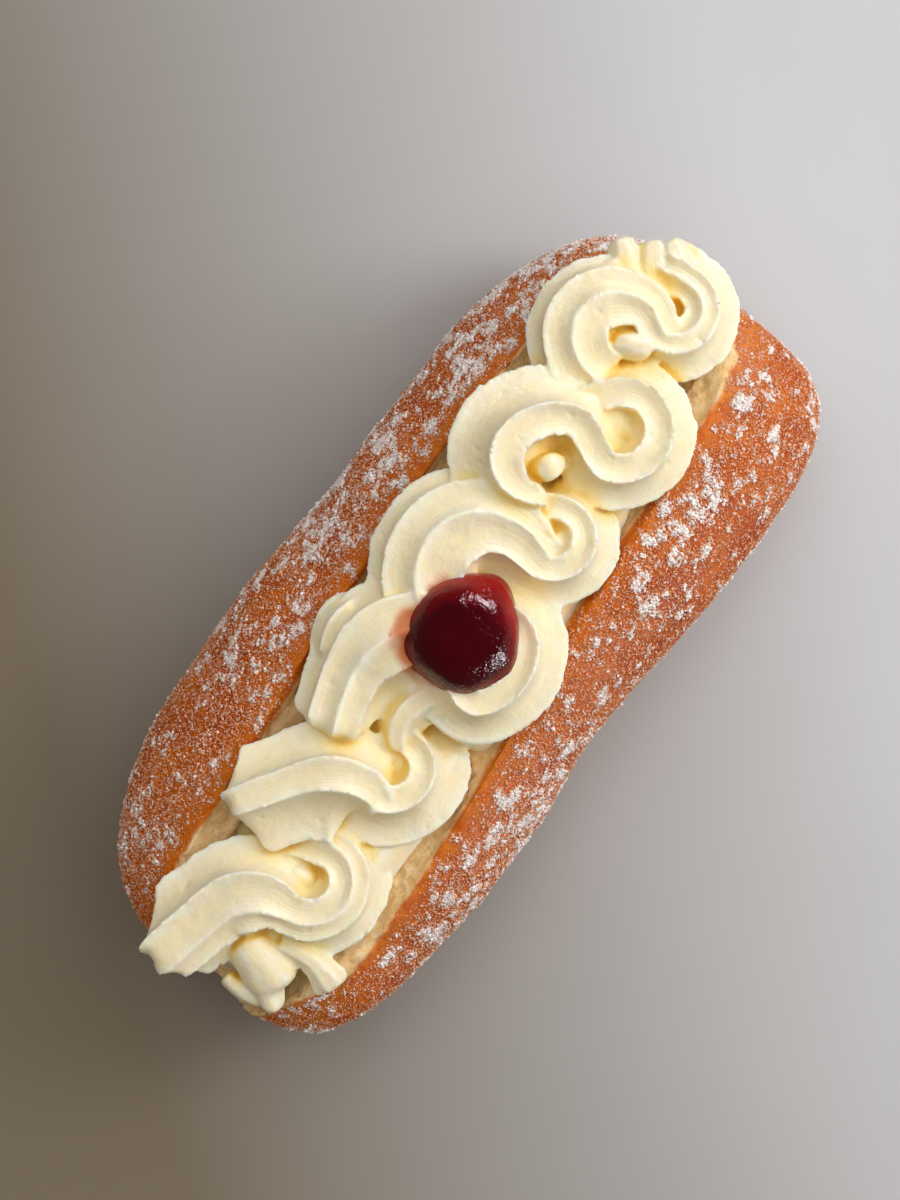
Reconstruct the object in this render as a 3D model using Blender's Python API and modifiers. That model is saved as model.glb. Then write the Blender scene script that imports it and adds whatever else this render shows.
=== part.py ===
"""Paris bun: a long sweet roll slit along its top, filled with piped cream, a dollop of jam on it.

Lengths are in millimetres up to the moment a mesh is made, and the meshes are in metres.
+X runs along the roll, +Z is up, the roll rests on its flat bottom at Z = 0.
"""

import math

import bmesh
import bpy
import numpy as np
from mathutils import Vector, noise

MM = 0.001

CENTRE_X, CENTRE_Y = 0.44, 0.27  # middle of the finished box, moved to the origin at the end

# Roll
HALF_LENGTH = 82.5
WAIST_Z = 21.0  # height of the widest level
TOP_Z = 47.0  # crest of the two lobes
UNDER_Z = 4.0  # how far the round bottom would reach below the flat one
SIDE_PLUS = 37.4  # half width on the +Y side at its widest
SIDE_MINUS = 36.8
PINCH_PLUS, PINCH_PLUS_X, PINCH_PLUS_REACH = 0.055, 8.0, 24.0  # slight waist on the +Y side
PINCH_MINUS, PINCH_MINUS_X, PINCH_MINUS_REACH = 0.07, 3.0, 27.0
BLUNT_PLUS_LEFT, BLUNT_PLUS_RIGHT = 3.0, 3.5  # how blunt the ends are, seen from above
BLUNT_MINUS_LEFT, BLUNT_MINUS_RIGHT = 4.2, 5.2
BLUNT_UP = 2.7  # how blunt the ends are, seen from the side
ROLL_ROUND_TOP, ROLL_ROUND_BOTTOM = 2.25, 2.7
ROLL_STATIONS, ROLL_AROUND = 44, 40
LUMP_SIZE, LUMP_DEPTH, LUMP_NEAR = 17.0, 0.7, 6.0  # sections smaller than this get less of it
LAST_STATION = 0.9995  # of the half length, so that each end is a tiny flat cap

# Slit
SLIT_FLOOR_Z = 15.0
SLIT_FLOOR_HALF = 3.5
WALL_FOOT = 1.2  # rise of the rounded floor before the wall starts
LIP_Z = 39.0  # where the inner wall starts to round over
LIP_ROUND = 7.0
LIP_TURN = 0.46 * math.pi  # how far the lip rounds over
LIP_HEIGHT = 1.1 * LIP_ROUND
MOUTH_REACH, MOUTH_RISE = 2.2 * LIP_ROUND, 1.25 * LIP_ROUND  # end of the cut outside the lip
WALL_HOLLOW = 0.85  # under 1 hollows the wall between foot and shelf
SHELF_WIDTH, SHELF_DROP = 4.6, 2.6  # crumb that shows inside the lip
LIP_PLUS_MID, LIP_PLUS_SLOPE = 18.9, 0.06  # where the +Y lip lies, and how it drifts along X
LIP_MINUS_MID, LIP_MINUS_SLOPE = -17.6, 0.095
LIP_END_OPENING, LIP_END_POWER = 2.0, 4  # the lips draw together near the ends
SLIT_STATIONS = 36
SLIT_OVERRUN = 12.0
CUT_ABOVE = 20.0  # how far the cut runs on above the roll
BLOCK_REACH, BLOCK_DEPTH = 120.0, 40.0  # of the block that cuts the bottom flat
LIP_WAVE, LIP_WAVE_LENGTH, LIP_WAVE_START = 1.2, 19.0, 0.6  # the lips wander a little
LIP_WAVE_MINUS = 0.8  # the -Y lip wanders less
FLOOR_STEPS, WALL_STEPS, LIP_STEPS = (0.0, 0.5, 1.0), (0.35, 0.7, 1.0), (0.33, 0.66, 1.0)

# Cream
BAND_POINTS, UNDER_POINTS = 14, 6  # round each scooped band on top and underneath
SCOOP, UNDER_SCOOP = 0.18, 0.08  # sag of a band, set against its width
UNDER_RIDGES = (1.28, 1.5, 1.72)  # their bearings, in half turns from the right edge
SQUARE = 0.8  # under 1 makes the section fuller than an oval
EDGE_RISE = 0.18  # the outer ridges lie this much above the rope's middle
CUT_REACH = 18.0  # the slant of a swirl's start fades out over this length
TIP_FADE, TIP_PART = 2.5, 0.6  # how fast the torn tips fade into the rope, and their mean length
TIP_SHARP = 1.5  # above 1 narrows the tips to the ridges
MIX_FROM, MIX_OVER = 0.3, 0.3  # where along a swirl its section changes to that of the turn
SMALLEST_END = 0.03  # the section never shrinks further, so no face is folded flat
ROPE_HALF_HEIGHT = 7.8
BEND_STEP, TURN_STEP = 22, 28  # degrees between control points
EARLY = 0.6  # share of the turn's width and height that the bend's end has already
SINK_RATE, SINK_LATE, EXIT_DROP = 1.3, 0.45, 1.5  # how a turn sinks under the next swirl
SWIRL_ENDS = (3.5, 3.5)  # length of the blunt dome at each end
ROPE_STEP = 1.1
CREAM_VOXEL = 0.85
CREAM_TRIANGLES = 7400
CREAM_CORE_TOP_Z = 37.5
CREAM_CORE_END, CREAM_CORE_DIP = 77.5, 12.0  # its half length, and its fall towards each end
CREAM_CORE_DIP_POWER = 6  # the fall starts near the ends
CREAM_CORE_CROWN, CREAM_CORE_SHOULDER = 0.008, 15.0  # how its top falls off, and how far out
CORE_OVERLAP = 1.0  # how far the core starts inside the crumb, before it is trimmed
GAP = 0.3  # between the cream and what it touches
WELD = 0.00006  # metres, points closer than this are one

# Each swirl bends right over a centre, then turns left round a hollow, and ends under the next
# swirl. Bend: centre x, y, straight run before it, start and end angle in degrees, stretch along X;
# then its radius at the start, crest and end. Turn: centre x, y, radius, start and end angle. Half
# widths at the start, the crest and the turn, and heights of the rope's middle at start, crest,
# turn and end. Where the ridges lie across the rope from its right edge (1) to its left edge (-1),
# at the start and in the turn, and how far each is cut back at the start. Last, the run past the
# turn and how far the ridges reach out as torn tips at the start and at the end.
SWIRLS = (
    ((-67.5, -6.0, 15.5, 80, 15, 1.0), (10.5, 10.3, 9.6), (-51.8, -7.4, 6.9, 165, 378), (9.6, 11.0, 7.6),
     (39, 41, 39.5, 36), (1, 0.74, 0.36, -0.4, -1), (1, 0.5, 0.1, -0.5, -1), (5, 2.5, -1, 0, 9), (9, 3.0, 0)),
    ((-46.0, -6.5, 14.0, 58, 8, 1.0), (13.8, 13.8, 13.6), (-26.6, -6.2, 7.0, 170, 378), (10.4, 12.6, 7.8),
     (43, 44, 41, 37), (1, 0.12, -0.4, -1), (1, 0.14, -0.5, -1), (4, 0, 0, 5), (9, 2.4, 0)),
    ((-13.6, -1.0, 9.0, 118, 0, 1.28), (11.6, 11.0, 8.6), (-0.4, -7.2, 7.8, 195, 385),
     (8.6, 12.0, 7.2), (43, 45.5, 44.8, 43), (1, 0.56, 0.0, -0.62, -1), (1, 0.2, -0.45, -0.8, -1),
     (6, 0, 0, 1, 3), (6, 1.0, 0)),
    ((11.5, 1.2, 0, 180, -10, 1.0), (11.6, 11.2, 8.4), (24.3, -3.7, 6.3, 190, 390),
     (10.2, 11.6, 6.8), (43, 46, 43.5, 41.5), (1, 0.62, -0.18, -0.74, -1), (1, 0.27, -0.4, -0.8, -1),
     (0, 0, 0, 2, 6), (8, 1.0, 0)),
    ((60.4, 7.4, 0, 190, 5, 1.0), (7.6, 9.6, 6.9), (70.7, 4.2, 6.5, 185, 368), (8.2, 9.6, 6.6),
     (41, 44, 41, 40), (1, 0.6, -0.1, -0.68, -1), (1, 0.3, -0.2, -0.7, -1), (0, 0, 0, 0, 0), (5, 0, 4.5)),
    ((33.9, 5.0, 0, 215, -5, 1.0), (6.8, 10.6, 10.6), (47.0, -1.4, 7.5, 185, 425), (4.6, 8.8, 7.2),
     (45, 48, 44.5, 42), (1, 0.65, -0.05, -1), (1, 0.35, -0.42, -1), (0, 0, 0, 0), (3, 0, 0)),
)
# Small ends and folds of the rope: start, middle and end x, y, z, the half widths there, the
# half height and how deeply its bands are scooped.
FOLDS = (
    ((-67.6, -3.5, 40.0), (-69.8, -10.5, 40.4), (-71.2, -15.6, 39.2), (4.6, 4.8, 5.2), 4.2, -0.13),
    ((-70.8, -10.5, 39.6), (-73.4, -13.8, 39.2), (-75.6, -16.6, 38.4), (3.6, 3.0, 1.8), 3.2, -0.1),
    ((-76.0, -5.0, 37.4), (-76.4, -10.0, 37.4), (-76.0, -13.8, 36.6), (1.8, 2.0, 1.3), 3.2, -0.08),
    ((-64.4, -9.0, 41.5), (-62.9, -17.0, 41.0), (-65.6, -23.4, 40.4), (3.4, 2.0, 5.0), 2.4, 0.06),
    ((33.0, 3.0, 47.6), (34.0, 4.9, 48.4), (35.0, 6.8, 47.8), (3.2, 3.7, 3.2), 4.0, -0.12),
    ((-22.6, -4.6, 41.0), (-18.6, -0.8, 43.8), (-9.5, -4.2, 43.0), (3.2, 4.6, 5.2), 4.8, 0.08),
    ((59.5, 9.0, 45.0), (60.9, 6.2, 46.8), (62.3, 3.4, 45.0), (2.6, 3.0, 2.4), 3.4, -0.06),
    ((66.0, 13.0, 41.5), (69.6, 17.2, 43.2), (71.6, 19.6, 43.6), (3.8, 3.2, 2.2), 3.0, -0.04),
    ((67.0, 11.5, 41.0), (72.8, 16.8, 43.2), (75.6, 20.6, 43.4), (4.4, 3.6, 2.0), 3.0, 0.0),
    ((70.4, 8.0, 41.2), (75.6, 12.4, 42.6), (79.2, 15.4, 42.2), (4.8, 4.6, 2.8), 3.2, 0.0),
    ((74.4, 5.0, 41.0), (78.8, 9.6, 42.6), (81.0, 13.2, 42.6), (3.8, 3.4, 2.2), 3.2, 0.0),
    ((-17.8, 15.8, 43.4), (-12.0, 18.4, 44.4), (-5.8, 16.8, 43.8), (3.4, 4.6, 4.0), 4.8, 0.1),
    ((-54.2, -1.0, 37.0), (-53.4, -5.0, 38.6), (-52.4, -8.6, 38.0), (3.2, 4.4, 4.4), 4.4, -0.06),
    ((-27.6, -1.5, 38.0), (-26.4, -5.0, 38.6), (-25.4, -9.0, 38.6), (4.4, 5.4, 5.0), 4.2, 0.02),
    ((11.6, 3.5, 41.5), (13.2, -4.0, 42.0), (12.6, -11.5, 40.0), (3.2, 3.6, 3.0), 4.4, -0.06),
    ((23.6, 0.5, 40.5), (23.9, -2.5, 41.5), (24.4, -6.0, 40.5), (3.0, 3.6, 3.4), 4.6, -0.06),
    ((49.4, 3.6, 43.0), (48.4, 0.0, 43.5), (47.0, -3.8, 42.0), (3.0, 3.6, 3.4), 4.6, -0.06),
    ((31.0, 1.4, 41.5), (34.4, -1.0, 42.2), (38.0, -3.6, 41.0), (3.4, 4.0, 3.4), 4.0, -0.06),
    ((70.6, 8.0, 39.5), (70.0, 4.6, 40.0), (69.0, 1.0, 39.5), (3.2, 3.8, 3.4), 4.2, 0.04),
    ((-60.0, -13.5, 36.0), (-40.0, -11.8, 37.2), (-14.0, -12.2, 38.4), (6.0, 6.8, 6.6), 4.4, -0.04),
    ((-16.0, -12.6, 38.2), (20.0, -9.4, 38.6), (58.0, -2.0, 38.4), (6.4, 6.2, 6.0), 4.4, -0.04),
)
FOLD_RIDGES = (1, 0.35, -0.35, -1)

# Jam
JAM_X, JAM_Y, JAM_Z = 0.7, -1.5, 48.0
JAM_HALF_X, JAM_HALF_Y, JAM_HALF_Z = 11.3, 10.6, 9.4
JAM_UNDER = 0.5  # how deep its lower side is, set against the upper
JAM_WAVES = ((3, 0.035, 0.7), (5, 0.025, 2.0))  # round its rim: how many, how deep, and their start
JAM_BOXY = 0.8  # under 1 makes its outline fuller
JAM_AROUND, JAM_RINGS = 28, 12


def collection(name):
    made = bpy.data.collections.new(name)
    bpy.context.scene.collection.children.link(made)
    return made


def material(name, colour, roughness):
    made = bpy.data.materials.new(name)
    made.use_nodes = True
    shader = made.node_tree.nodes["Principled BSDF"]
    shader.inputs["Base Color"].default_value = (*colour, 1.0)
    shader.inputs["Roughness"].default_value = roughness
    made.diffuse_color = (*colour, 1.0)
    return made


def mesh_object(name, verts, faces, group, look=None):
    mesh = bpy.data.meshes.new(name)
    mesh.from_pydata([tuple(v) for v in np.asarray(verts) * MM], [], faces)
    mesh.validate()
    made = bpy.data.objects.new(name, mesh)
    group.objects.link(made)
    if look:
        mesh.materials.append(look)
    bm = bmesh.new()
    bm.from_mesh(mesh)
    bmesh.ops.recalc_face_normals(bm, faces=bm.faces)
    bm.to_mesh(mesh)
    bm.free()
    return made


def loft_faces(rings, around):
    """Quads between rings of equal count, and a fan-free cap on each end ring."""
    faces = []
    for i in range(rings - 1):
        for j in range(around):
            k = (j + 1) % around
            a, b = i * around, (i + 1) * around
            faces.append((a + j, a + k, b + k, b + j))
    faces.append(tuple(reversed(range(around))))
    faces.append(tuple(range((rings - 1) * around, rings * around)))
    return faces


def ease(t):
    """0 to 1 with a flat start and end."""
    t = min(max(t, 0.0), 1.0)
    return t * t * (3.0 - 2.0 * t)


def blunt(part, power):
    return max(1.0 - abs(part) ** power, 0.0) ** (1.0 / power)


def roll_sides(x):
    """Half widths of the roll at x, towards +Y and towards -Y."""
    part = x / HALF_LENGTH
    plus = blunt(part, BLUNT_PLUS_LEFT if x < 0 else BLUNT_PLUS_RIGHT)
    minus = blunt(part, BLUNT_MINUS_LEFT if x < 0 else BLUNT_MINUS_RIGHT)
    plus *= 1.0 - PINCH_PLUS * math.exp(-(((x - PINCH_PLUS_X) / PINCH_PLUS_REACH) ** 2))
    minus *= 1.0 - PINCH_MINUS * math.exp(-(((x - PINCH_MINUS_X) / PINCH_MINUS_REACH) ** 2))
    return SIDE_PLUS * plus, SIDE_MINUS * minus


def roll_section(x, around, grow):
    """A round-cornered section of the unslit roll at x, grown outwards by the gap."""
    plus, minus = roll_sides(x)
    rise = blunt(x / HALF_LENGTH, BLUNT_UP)
    ring = []
    for j in range(around):
        angle = 2.0 * math.pi * j / around
        c, s = math.cos(angle), math.sin(angle)
        power = 2.0 / (ROLL_ROUND_TOP if s > 0 else ROLL_ROUND_BOTTOM)
        side = plus if c > 0 else minus
        tall = (TOP_Z - WAIST_Z) if s > 0 else (WAIST_Z + UNDER_Z)
        y = math.copysign(abs(c) ** power, c) * side
        z = math.copysign(abs(s) ** power, s) * tall * rise
        lump = noise.noise(Vector((x, y, z)) / LUMP_SIZE) * LUMP_DEPTH
        reach = math.hypot(y, z) or 1.0
        scale = 1.0 + (lump + grow) / max(reach, LUMP_NEAR)
        ring.append((x, y * scale, WAIST_Z + z * scale))
    return ring


def roll_stations():
    """Stations packed more closely towards both ends."""
    steps = np.linspace(-1.0, 1.0, ROLL_STATIONS)
    return np.sin(steps * math.pi / 2.0) * HALF_LENGTH * LAST_STATION


def roll_body(name, grow, group, look=None):
    verts = []
    stations = roll_stations()
    for x in stations:
        verts += roll_section(float(x), ROLL_AROUND, grow)
    verts = np.array(verts)
    verts[:, 0] *= 1.0 + grow / HALF_LENGTH
    return mesh_object(name, verts, loft_faces(len(stations), ROLL_AROUND), group, look)


def lips(x):
    """Where the two lips of the slit lie at x."""
    opening = LIP_END_OPENING * (x / HALF_LENGTH) ** LIP_END_POWER
    wave = LIP_WAVE * math.sin(x / LIP_WAVE_LENGTH + LIP_WAVE_START)
    plus = LIP_PLUS_MID + LIP_PLUS_SLOPE * x + wave - opening
    minus = LIP_MINUS_MID + LIP_MINUS_SLOPE * x + LIP_WAVE_MINUS * wave + opening
    return plus, minus


def slit_section(x, grow, top):
    """V with a rounded floor, a shelf of crumb below the lip and a mouth that flares into each lobe."""
    plus, minus = lips(x)
    middle = (plus + minus) / 2.0
    foot, knee = SLIT_FLOOR_Z + WALL_FOOT + grow, LIP_Z - SHELF_DROP + grow
    ring = []
    for side, lip in ((1.0, plus), (-1.0, minus)):
        half = abs(lip - middle) - grow
        run = []
        for t in FLOOR_STEPS:
            run.append((SLIT_FLOOR_HALF * t, SLIT_FLOOR_Z + grow + WALL_FOOT * t * t))
        reach = half - SHELF_WIDTH - SLIT_FLOOR_HALF
        for t in WALL_STEPS:
            run.append((SLIT_FLOOR_HALF + reach * t**WALL_HOLLOW, foot + (knee - foot) * t))
        run.append((half, LIP_Z + grow))
        for t in LIP_STEPS:
            turn = t * LIP_TURN
            y = half + LIP_ROUND * (1.0 - math.cos(turn))
            run.append((y, LIP_Z + grow + LIP_HEIGHT * math.sin(turn)))
        run.append((half + MOUTH_REACH, LIP_Z + grow + MOUTH_RISE))
        run.append((half + MOUTH_REACH, top))
        points = [(x, middle + side * y, z) for y, z in run]
        ring += points if side > 0 else list(reversed(points[1:]))
    return ring


def slit_cutter(name, grow, group):
    reach = HALF_LENGTH + SLIT_OVERRUN
    stations = np.linspace(-reach, reach, SLIT_STATIONS)
    rings = [slit_section(float(x), grow, TOP_Z + CUT_ABOVE) for x in stations]
    verts = [p for ring in rings for p in ring]
    return mesh_object(name, verts, loft_faces(len(rings), len(rings[0])), group)


def spline(points, step):
    """Even stations on a smooth curve that follows the control points."""
    points = np.asarray(points, float)
    padded = np.vstack([2 * points[0] - points[1], points, 2 * points[-1] - points[-2]])
    found = []
    for i in range(len(points) - 1):
        p0, p1, p2, p3 = padded[i : i + 4]
        for t in np.linspace(0.0, 1.0, 12, endpoint=False):
            found.append(
                (
                    p0 * (1 - t) ** 3
                    + p1 * (3 * t**3 - 6 * t**2 + 4)
                    + p2 * (-3 * t**3 + 3 * t**2 + 3 * t + 1)
                    + p3 * t**3
                )
                / 6.0
            )
    found = np.array(found)
    along = np.r_[0.0, np.cumsum(np.linalg.norm(np.diff(found[:, :3], axis=0), axis=1))]
    even = np.linspace(0.0, along[-1], max(int(along[-1] / step), 4))
    return np.column_stack([np.interp(even, along, found[:, k]) for k in range(found.shape[1])])


def swirl_path(bend, radii, turn, widths, heights, exit_run):
    """Control points x, y, z and half width of one swirl."""
    cx, cy, run_in, a0, a1, stretch = bend
    r_start, r_crest, r_end = radii
    hx, hy, r_turn, b0, b1 = turn
    w_start, w_crest, w_turn = widths
    z_start, z_crest, z_turn, z_end = heights
    points = []
    if run_in:
        angle = math.radians(a0)
        x, y = cx + stretch * r_start * math.cos(angle), cy + r_start * math.sin(angle)
        back_x, back_y = -stretch * math.sin(angle), math.cos(angle)
        run = run_in / math.hypot(back_x, back_y)
        points.append((x + run * back_x, y + run * back_y, z_start, w_start))
    steps = max(int(abs(a1 - a0) / BEND_STEP), 3)
    for i in range(steps + 1):
        t = i / steps
        angle = math.radians(a0 + (a1 - a0) * t)
        rise = ease(2.0 * t)
        fall = ease(2.0 * t - 1.0)
        radius = r_start + (r_crest - r_start) * rise + (r_end - r_crest) * fall
        w = w_start + (w_crest - w_start) * rise
        w += (w_turn - w) * fall * EARLY
        z = z_start + (z_crest - z_start) * rise
        z += (z_turn - z) * fall * EARLY
        points.append((cx + stretch * radius * math.cos(angle), cy + radius * math.sin(angle), z, w))
    steps = max(int(abs(b1 - b0) / TURN_STEP), 3)
    for i in range(steps + 1):
        t = i / steps
        angle = math.radians(b0 + (b1 - b0) * t)
        z = z_turn + (z_end - z_turn) * ease(t * SINK_RATE - SINK_LATE)
        points.append((hx + stretch * r_turn * math.cos(angle), hy + r_turn * math.sin(angle), z, w_turn))
    angle = math.radians(b1 + 90)
    x, y, z, w = points[-1]
    for t in (0.5, 1.0):
        run = exit_run * t
        points.append((x + run * math.cos(angle), y + run * math.sin(angle), z - EXIT_DROP * t, w))
    return points


def section_table(ridges, scoop):
    """Section of half width and half height 1: ridges joined by scooped bands.

    Returns its points and, for each, how deep in a band it lies.
    """
    angles = [math.acos(e) for e in ridges] + [math.pi * a for a in UNDER_RIDGES]
    crests = []
    for k, angle in enumerate(angles):
        z = math.copysign(abs(math.sin(angle)) ** SQUARE, math.sin(angle))
        crests.append((math.cos(angle), max(z, EDGE_RISE) if k < len(ridges) else z))
    crests.append(crests[0])
    points, depth = [], []
    for k in range(len(crests) - 1):
        a, b = np.array(crests[k]), np.array(crests[k + 1])
        top = k < len(ridges) - 1
        count = BAND_POINTS if top else UNDER_POINTS
        t = np.arange(count) / count
        sag = (scoop if top else min(scoop, UNDER_SCOOP)) * 4.0 * t * (1.0 - t)
        inward = np.array([a[1] - b[1], b[0] - a[0]])
        points.append(a + (b - a) * t[:, None] + inward * sag[:, None])
        depth.append(4.0 * t * (1.0 - t))
    return np.vstack(points), np.concatenate(depth)


def rope(name, control, group, ridges, turn_ridges, scoop, half_height, ends, cuts=(), tips=(0, 0)):
    """Sweep the ridged section along a path; both ends close in a blunt dome."""
    path = spline(control, ROPE_STEP)
    centre, width = path[:, :3], path[:, 3]
    ahead = np.gradient(centre, axis=0)
    ahead /= np.linalg.norm(ahead, axis=1)[:, None]
    side = np.cross(ahead, (0.0, 0.0, 1.0))
    side /= np.linalg.norm(side, axis=1)[:, None]
    up = np.cross(side, ahead)
    along = np.r_[0.0, np.cumsum(np.linalg.norm(np.diff(centre, axis=0), axis=1))]
    first, depth = section_table(ridges, scoop)
    last, _ = section_table(turn_ridges, scoop)
    held = np.interp(-first[:, 0], [-e for e in ridges], cuts) if cuts else 0.0
    verts = []
    for i in range(len(path)):
        near = min(along[i] / ends[0], (along[-1] - along[i]) / ends[1], 1.0)
        scale = max((1.0 - (1.0 - near) ** 3) ** (1.0 / 3.0), SMALLEST_END)
        ring = first + (last - first) * ease((along[i] / along[-1] - MIX_FROM) / MIX_OVER)
        reach = tips[1] * math.exp((along[i] - along[-1]) / TIP_FADE)
        reach -= tips[0] * math.exp(-along[i] / TIP_FADE)
        shift = reach * (1.0 - depth) ** TIP_SHARP * scale * TIP_PART
        shift = shift + held * max(1.0 - along[i] / CUT_REACH, 0.0) ** 2
        flat = (ring[:, :1] * width[i] * side[i] + ring[:, 1:] * half_height * up[i]) * scale
        verts.append(centre[i] + flat + shift[:, None] * ahead[i])
    return mesh_object(name, np.vstack(verts), loft_faces(len(path), len(first)), group)


def apply_modifier(target, kind, **settings):
    made = target.modifiers.new(kind.title(), kind)
    for key, value in settings.items():
        setattr(made, key, value)
    graph = bpy.context.evaluated_depsgraph_get()
    mesh = bpy.data.meshes.new_from_object(target.evaluated_get(graph))
    target.modifiers.clear()
    old = target.data
    target.data = mesh
    bpy.data.meshes.remove(old)


def cut(target, cutter):
    apply_modifier(target, "BOOLEAN", object=cutter, operation="DIFFERENCE", solver="EXACT")


def join(name, pieces, group, look):
    verts, faces = [], []
    for piece in pieces:
        start = len(verts)
        verts += [tuple(v.co) for v in piece.data.vertices]
        faces += [tuple(start + i for i in f.vertices) for f in piece.data.polygons]
        bpy.data.objects.remove(piece, do_unlink=True)
    mesh = bpy.data.meshes.new(name)
    mesh.from_pydata(verts, [], faces)
    made = bpy.data.objects.new(name, mesh)
    group.objects.link(made)
    mesh.materials.append(look)
    return made


def largest_only(target):
    """Keep the largest connected body and turn every face into triangles."""
    bm = bmesh.new()
    bm.from_mesh(target.data)
    bmesh.ops.triangulate(bm, faces=bm.faces)
    left = set(bm.verts)
    bodies = []
    while left:
        seed = left.pop()
        body, queue = {seed}, [seed]
        while queue:
            here = queue.pop()
            for edge in here.link_edges:
                other = edge.other_vert(here)
                if other in left:
                    left.remove(other)
                    body.add(other)
                    queue.append(other)
        bodies.append(body)
    bodies.sort(key=len, reverse=True)
    loose = [v for body in bodies[1:] for v in body]
    bmesh.ops.delete(bm, geom=loose, context="VERTS")
    bm.to_mesh(target.data)
    bm.free()


def face_outwards(target):
    bm = bmesh.new()
    bm.from_mesh(target.data)
    bmesh.ops.recalc_face_normals(bm, faces=bm.faces)
    bm.to_mesh(target.data)
    bm.free()


def clean(target):
    bm = bmesh.new()
    bm.from_mesh(target.data)
    bmesh.ops.remove_doubles(bm, verts=bm.verts, dist=WELD)
    bmesh.ops.dissolve_degenerate(bm, dist=WELD / 3.0, edges=bm.edges)
    bmesh.ops.triangulate(bm, faces=bm.faces)
    bm.to_mesh(target.data)
    bm.free()
    for face in target.data.polygons:
        face.use_smooth = True


def floor_cutter(name, group, top=0.0):
    ends = (-BLOCK_REACH, BLOCK_REACH)
    verts = [(x, y, z) for x in ends for y in ends for z in (-BLOCK_DEPTH, top)]
    faces = [(0, 1, 3, 2), (4, 6, 7, 5), (0, 4, 5, 1), (2, 3, 7, 6), (0, 2, 6, 4), (1, 5, 7, 3)]
    return mesh_object(name, verts, faces, group)


def jam_body(name, grow, group, look=None):
    """A dollop: a squashed drop with a soft peak and a wavy rim."""
    verts = [(JAM_X, JAM_Y, JAM_Z - JAM_HALF_Z * JAM_UNDER - grow)]
    for i in range(1, JAM_RINGS):
        up = -math.pi / 2.0 + math.pi * i / JAM_RINGS
        for j in range(JAM_AROUND):
            angle = 2.0 * math.pi * j / JAM_AROUND
            wave = 1.0 + sum(deep * math.sin(many * angle + start) for many, deep, start in JAM_WAVES)
            tall = JAM_HALF_Z if up > 0 else JAM_HALF_Z * JAM_UNDER
            ring = math.cos(up) ** JAM_BOXY
            x = (JAM_HALF_X * wave + grow) * ring * math.cos(angle)
            y = (JAM_HALF_Y * wave + grow) * ring * math.sin(angle)
            z = (tall + grow) * math.sin(up)
            verts.append((JAM_X + x, JAM_Y + y, JAM_Z + z))
    verts.append((JAM_X, JAM_Y, JAM_Z + JAM_HALF_Z + grow))
    faces = []
    for j in range(JAM_AROUND):
        k = (j + 1) % JAM_AROUND
        faces.append((0, 1 + k, 1 + j))
        for i in range(JAM_RINGS - 2):
            a, b = 1 + i * JAM_AROUND, 1 + (i + 1) * JAM_AROUND
            faces.append((a + j, a + k, b + k, b + j))
        a = 1 + (JAM_RINGS - 2) * JAM_AROUND
        faces.append((a + j, a + k, len(verts) - 1))
    return mesh_object(name, verts, faces, group, look)


def cream_core(name, group):
    """The filling inside the slit, under the piped swirls."""
    rings = []
    for x in np.linspace(-CREAM_CORE_END, CREAM_CORE_END, SLIT_STATIONS):
        ring = slit_section(float(x), -CORE_OVERLAP, TOP_Z)
        middle = sum(lips(float(x))) / 2.0
        off = [min(abs(py - middle), CREAM_CORE_SHOULDER) for _, py, _ in ring]
        top = CREAM_CORE_TOP_Z - CREAM_CORE_DIP * abs(x / CREAM_CORE_END) ** CREAM_CORE_DIP_POWER
        crown = [top - CREAM_CORE_CROWN * d * d for d in off]
        rings.append([(px, py, min(pz, lid)) for (px, py, pz), lid in zip(ring, crown)])
    verts = [p for ring in rings for p in ring]
    return mesh_object(name, verts, loft_faces(len(rings), len(rings[0])), group)


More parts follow.
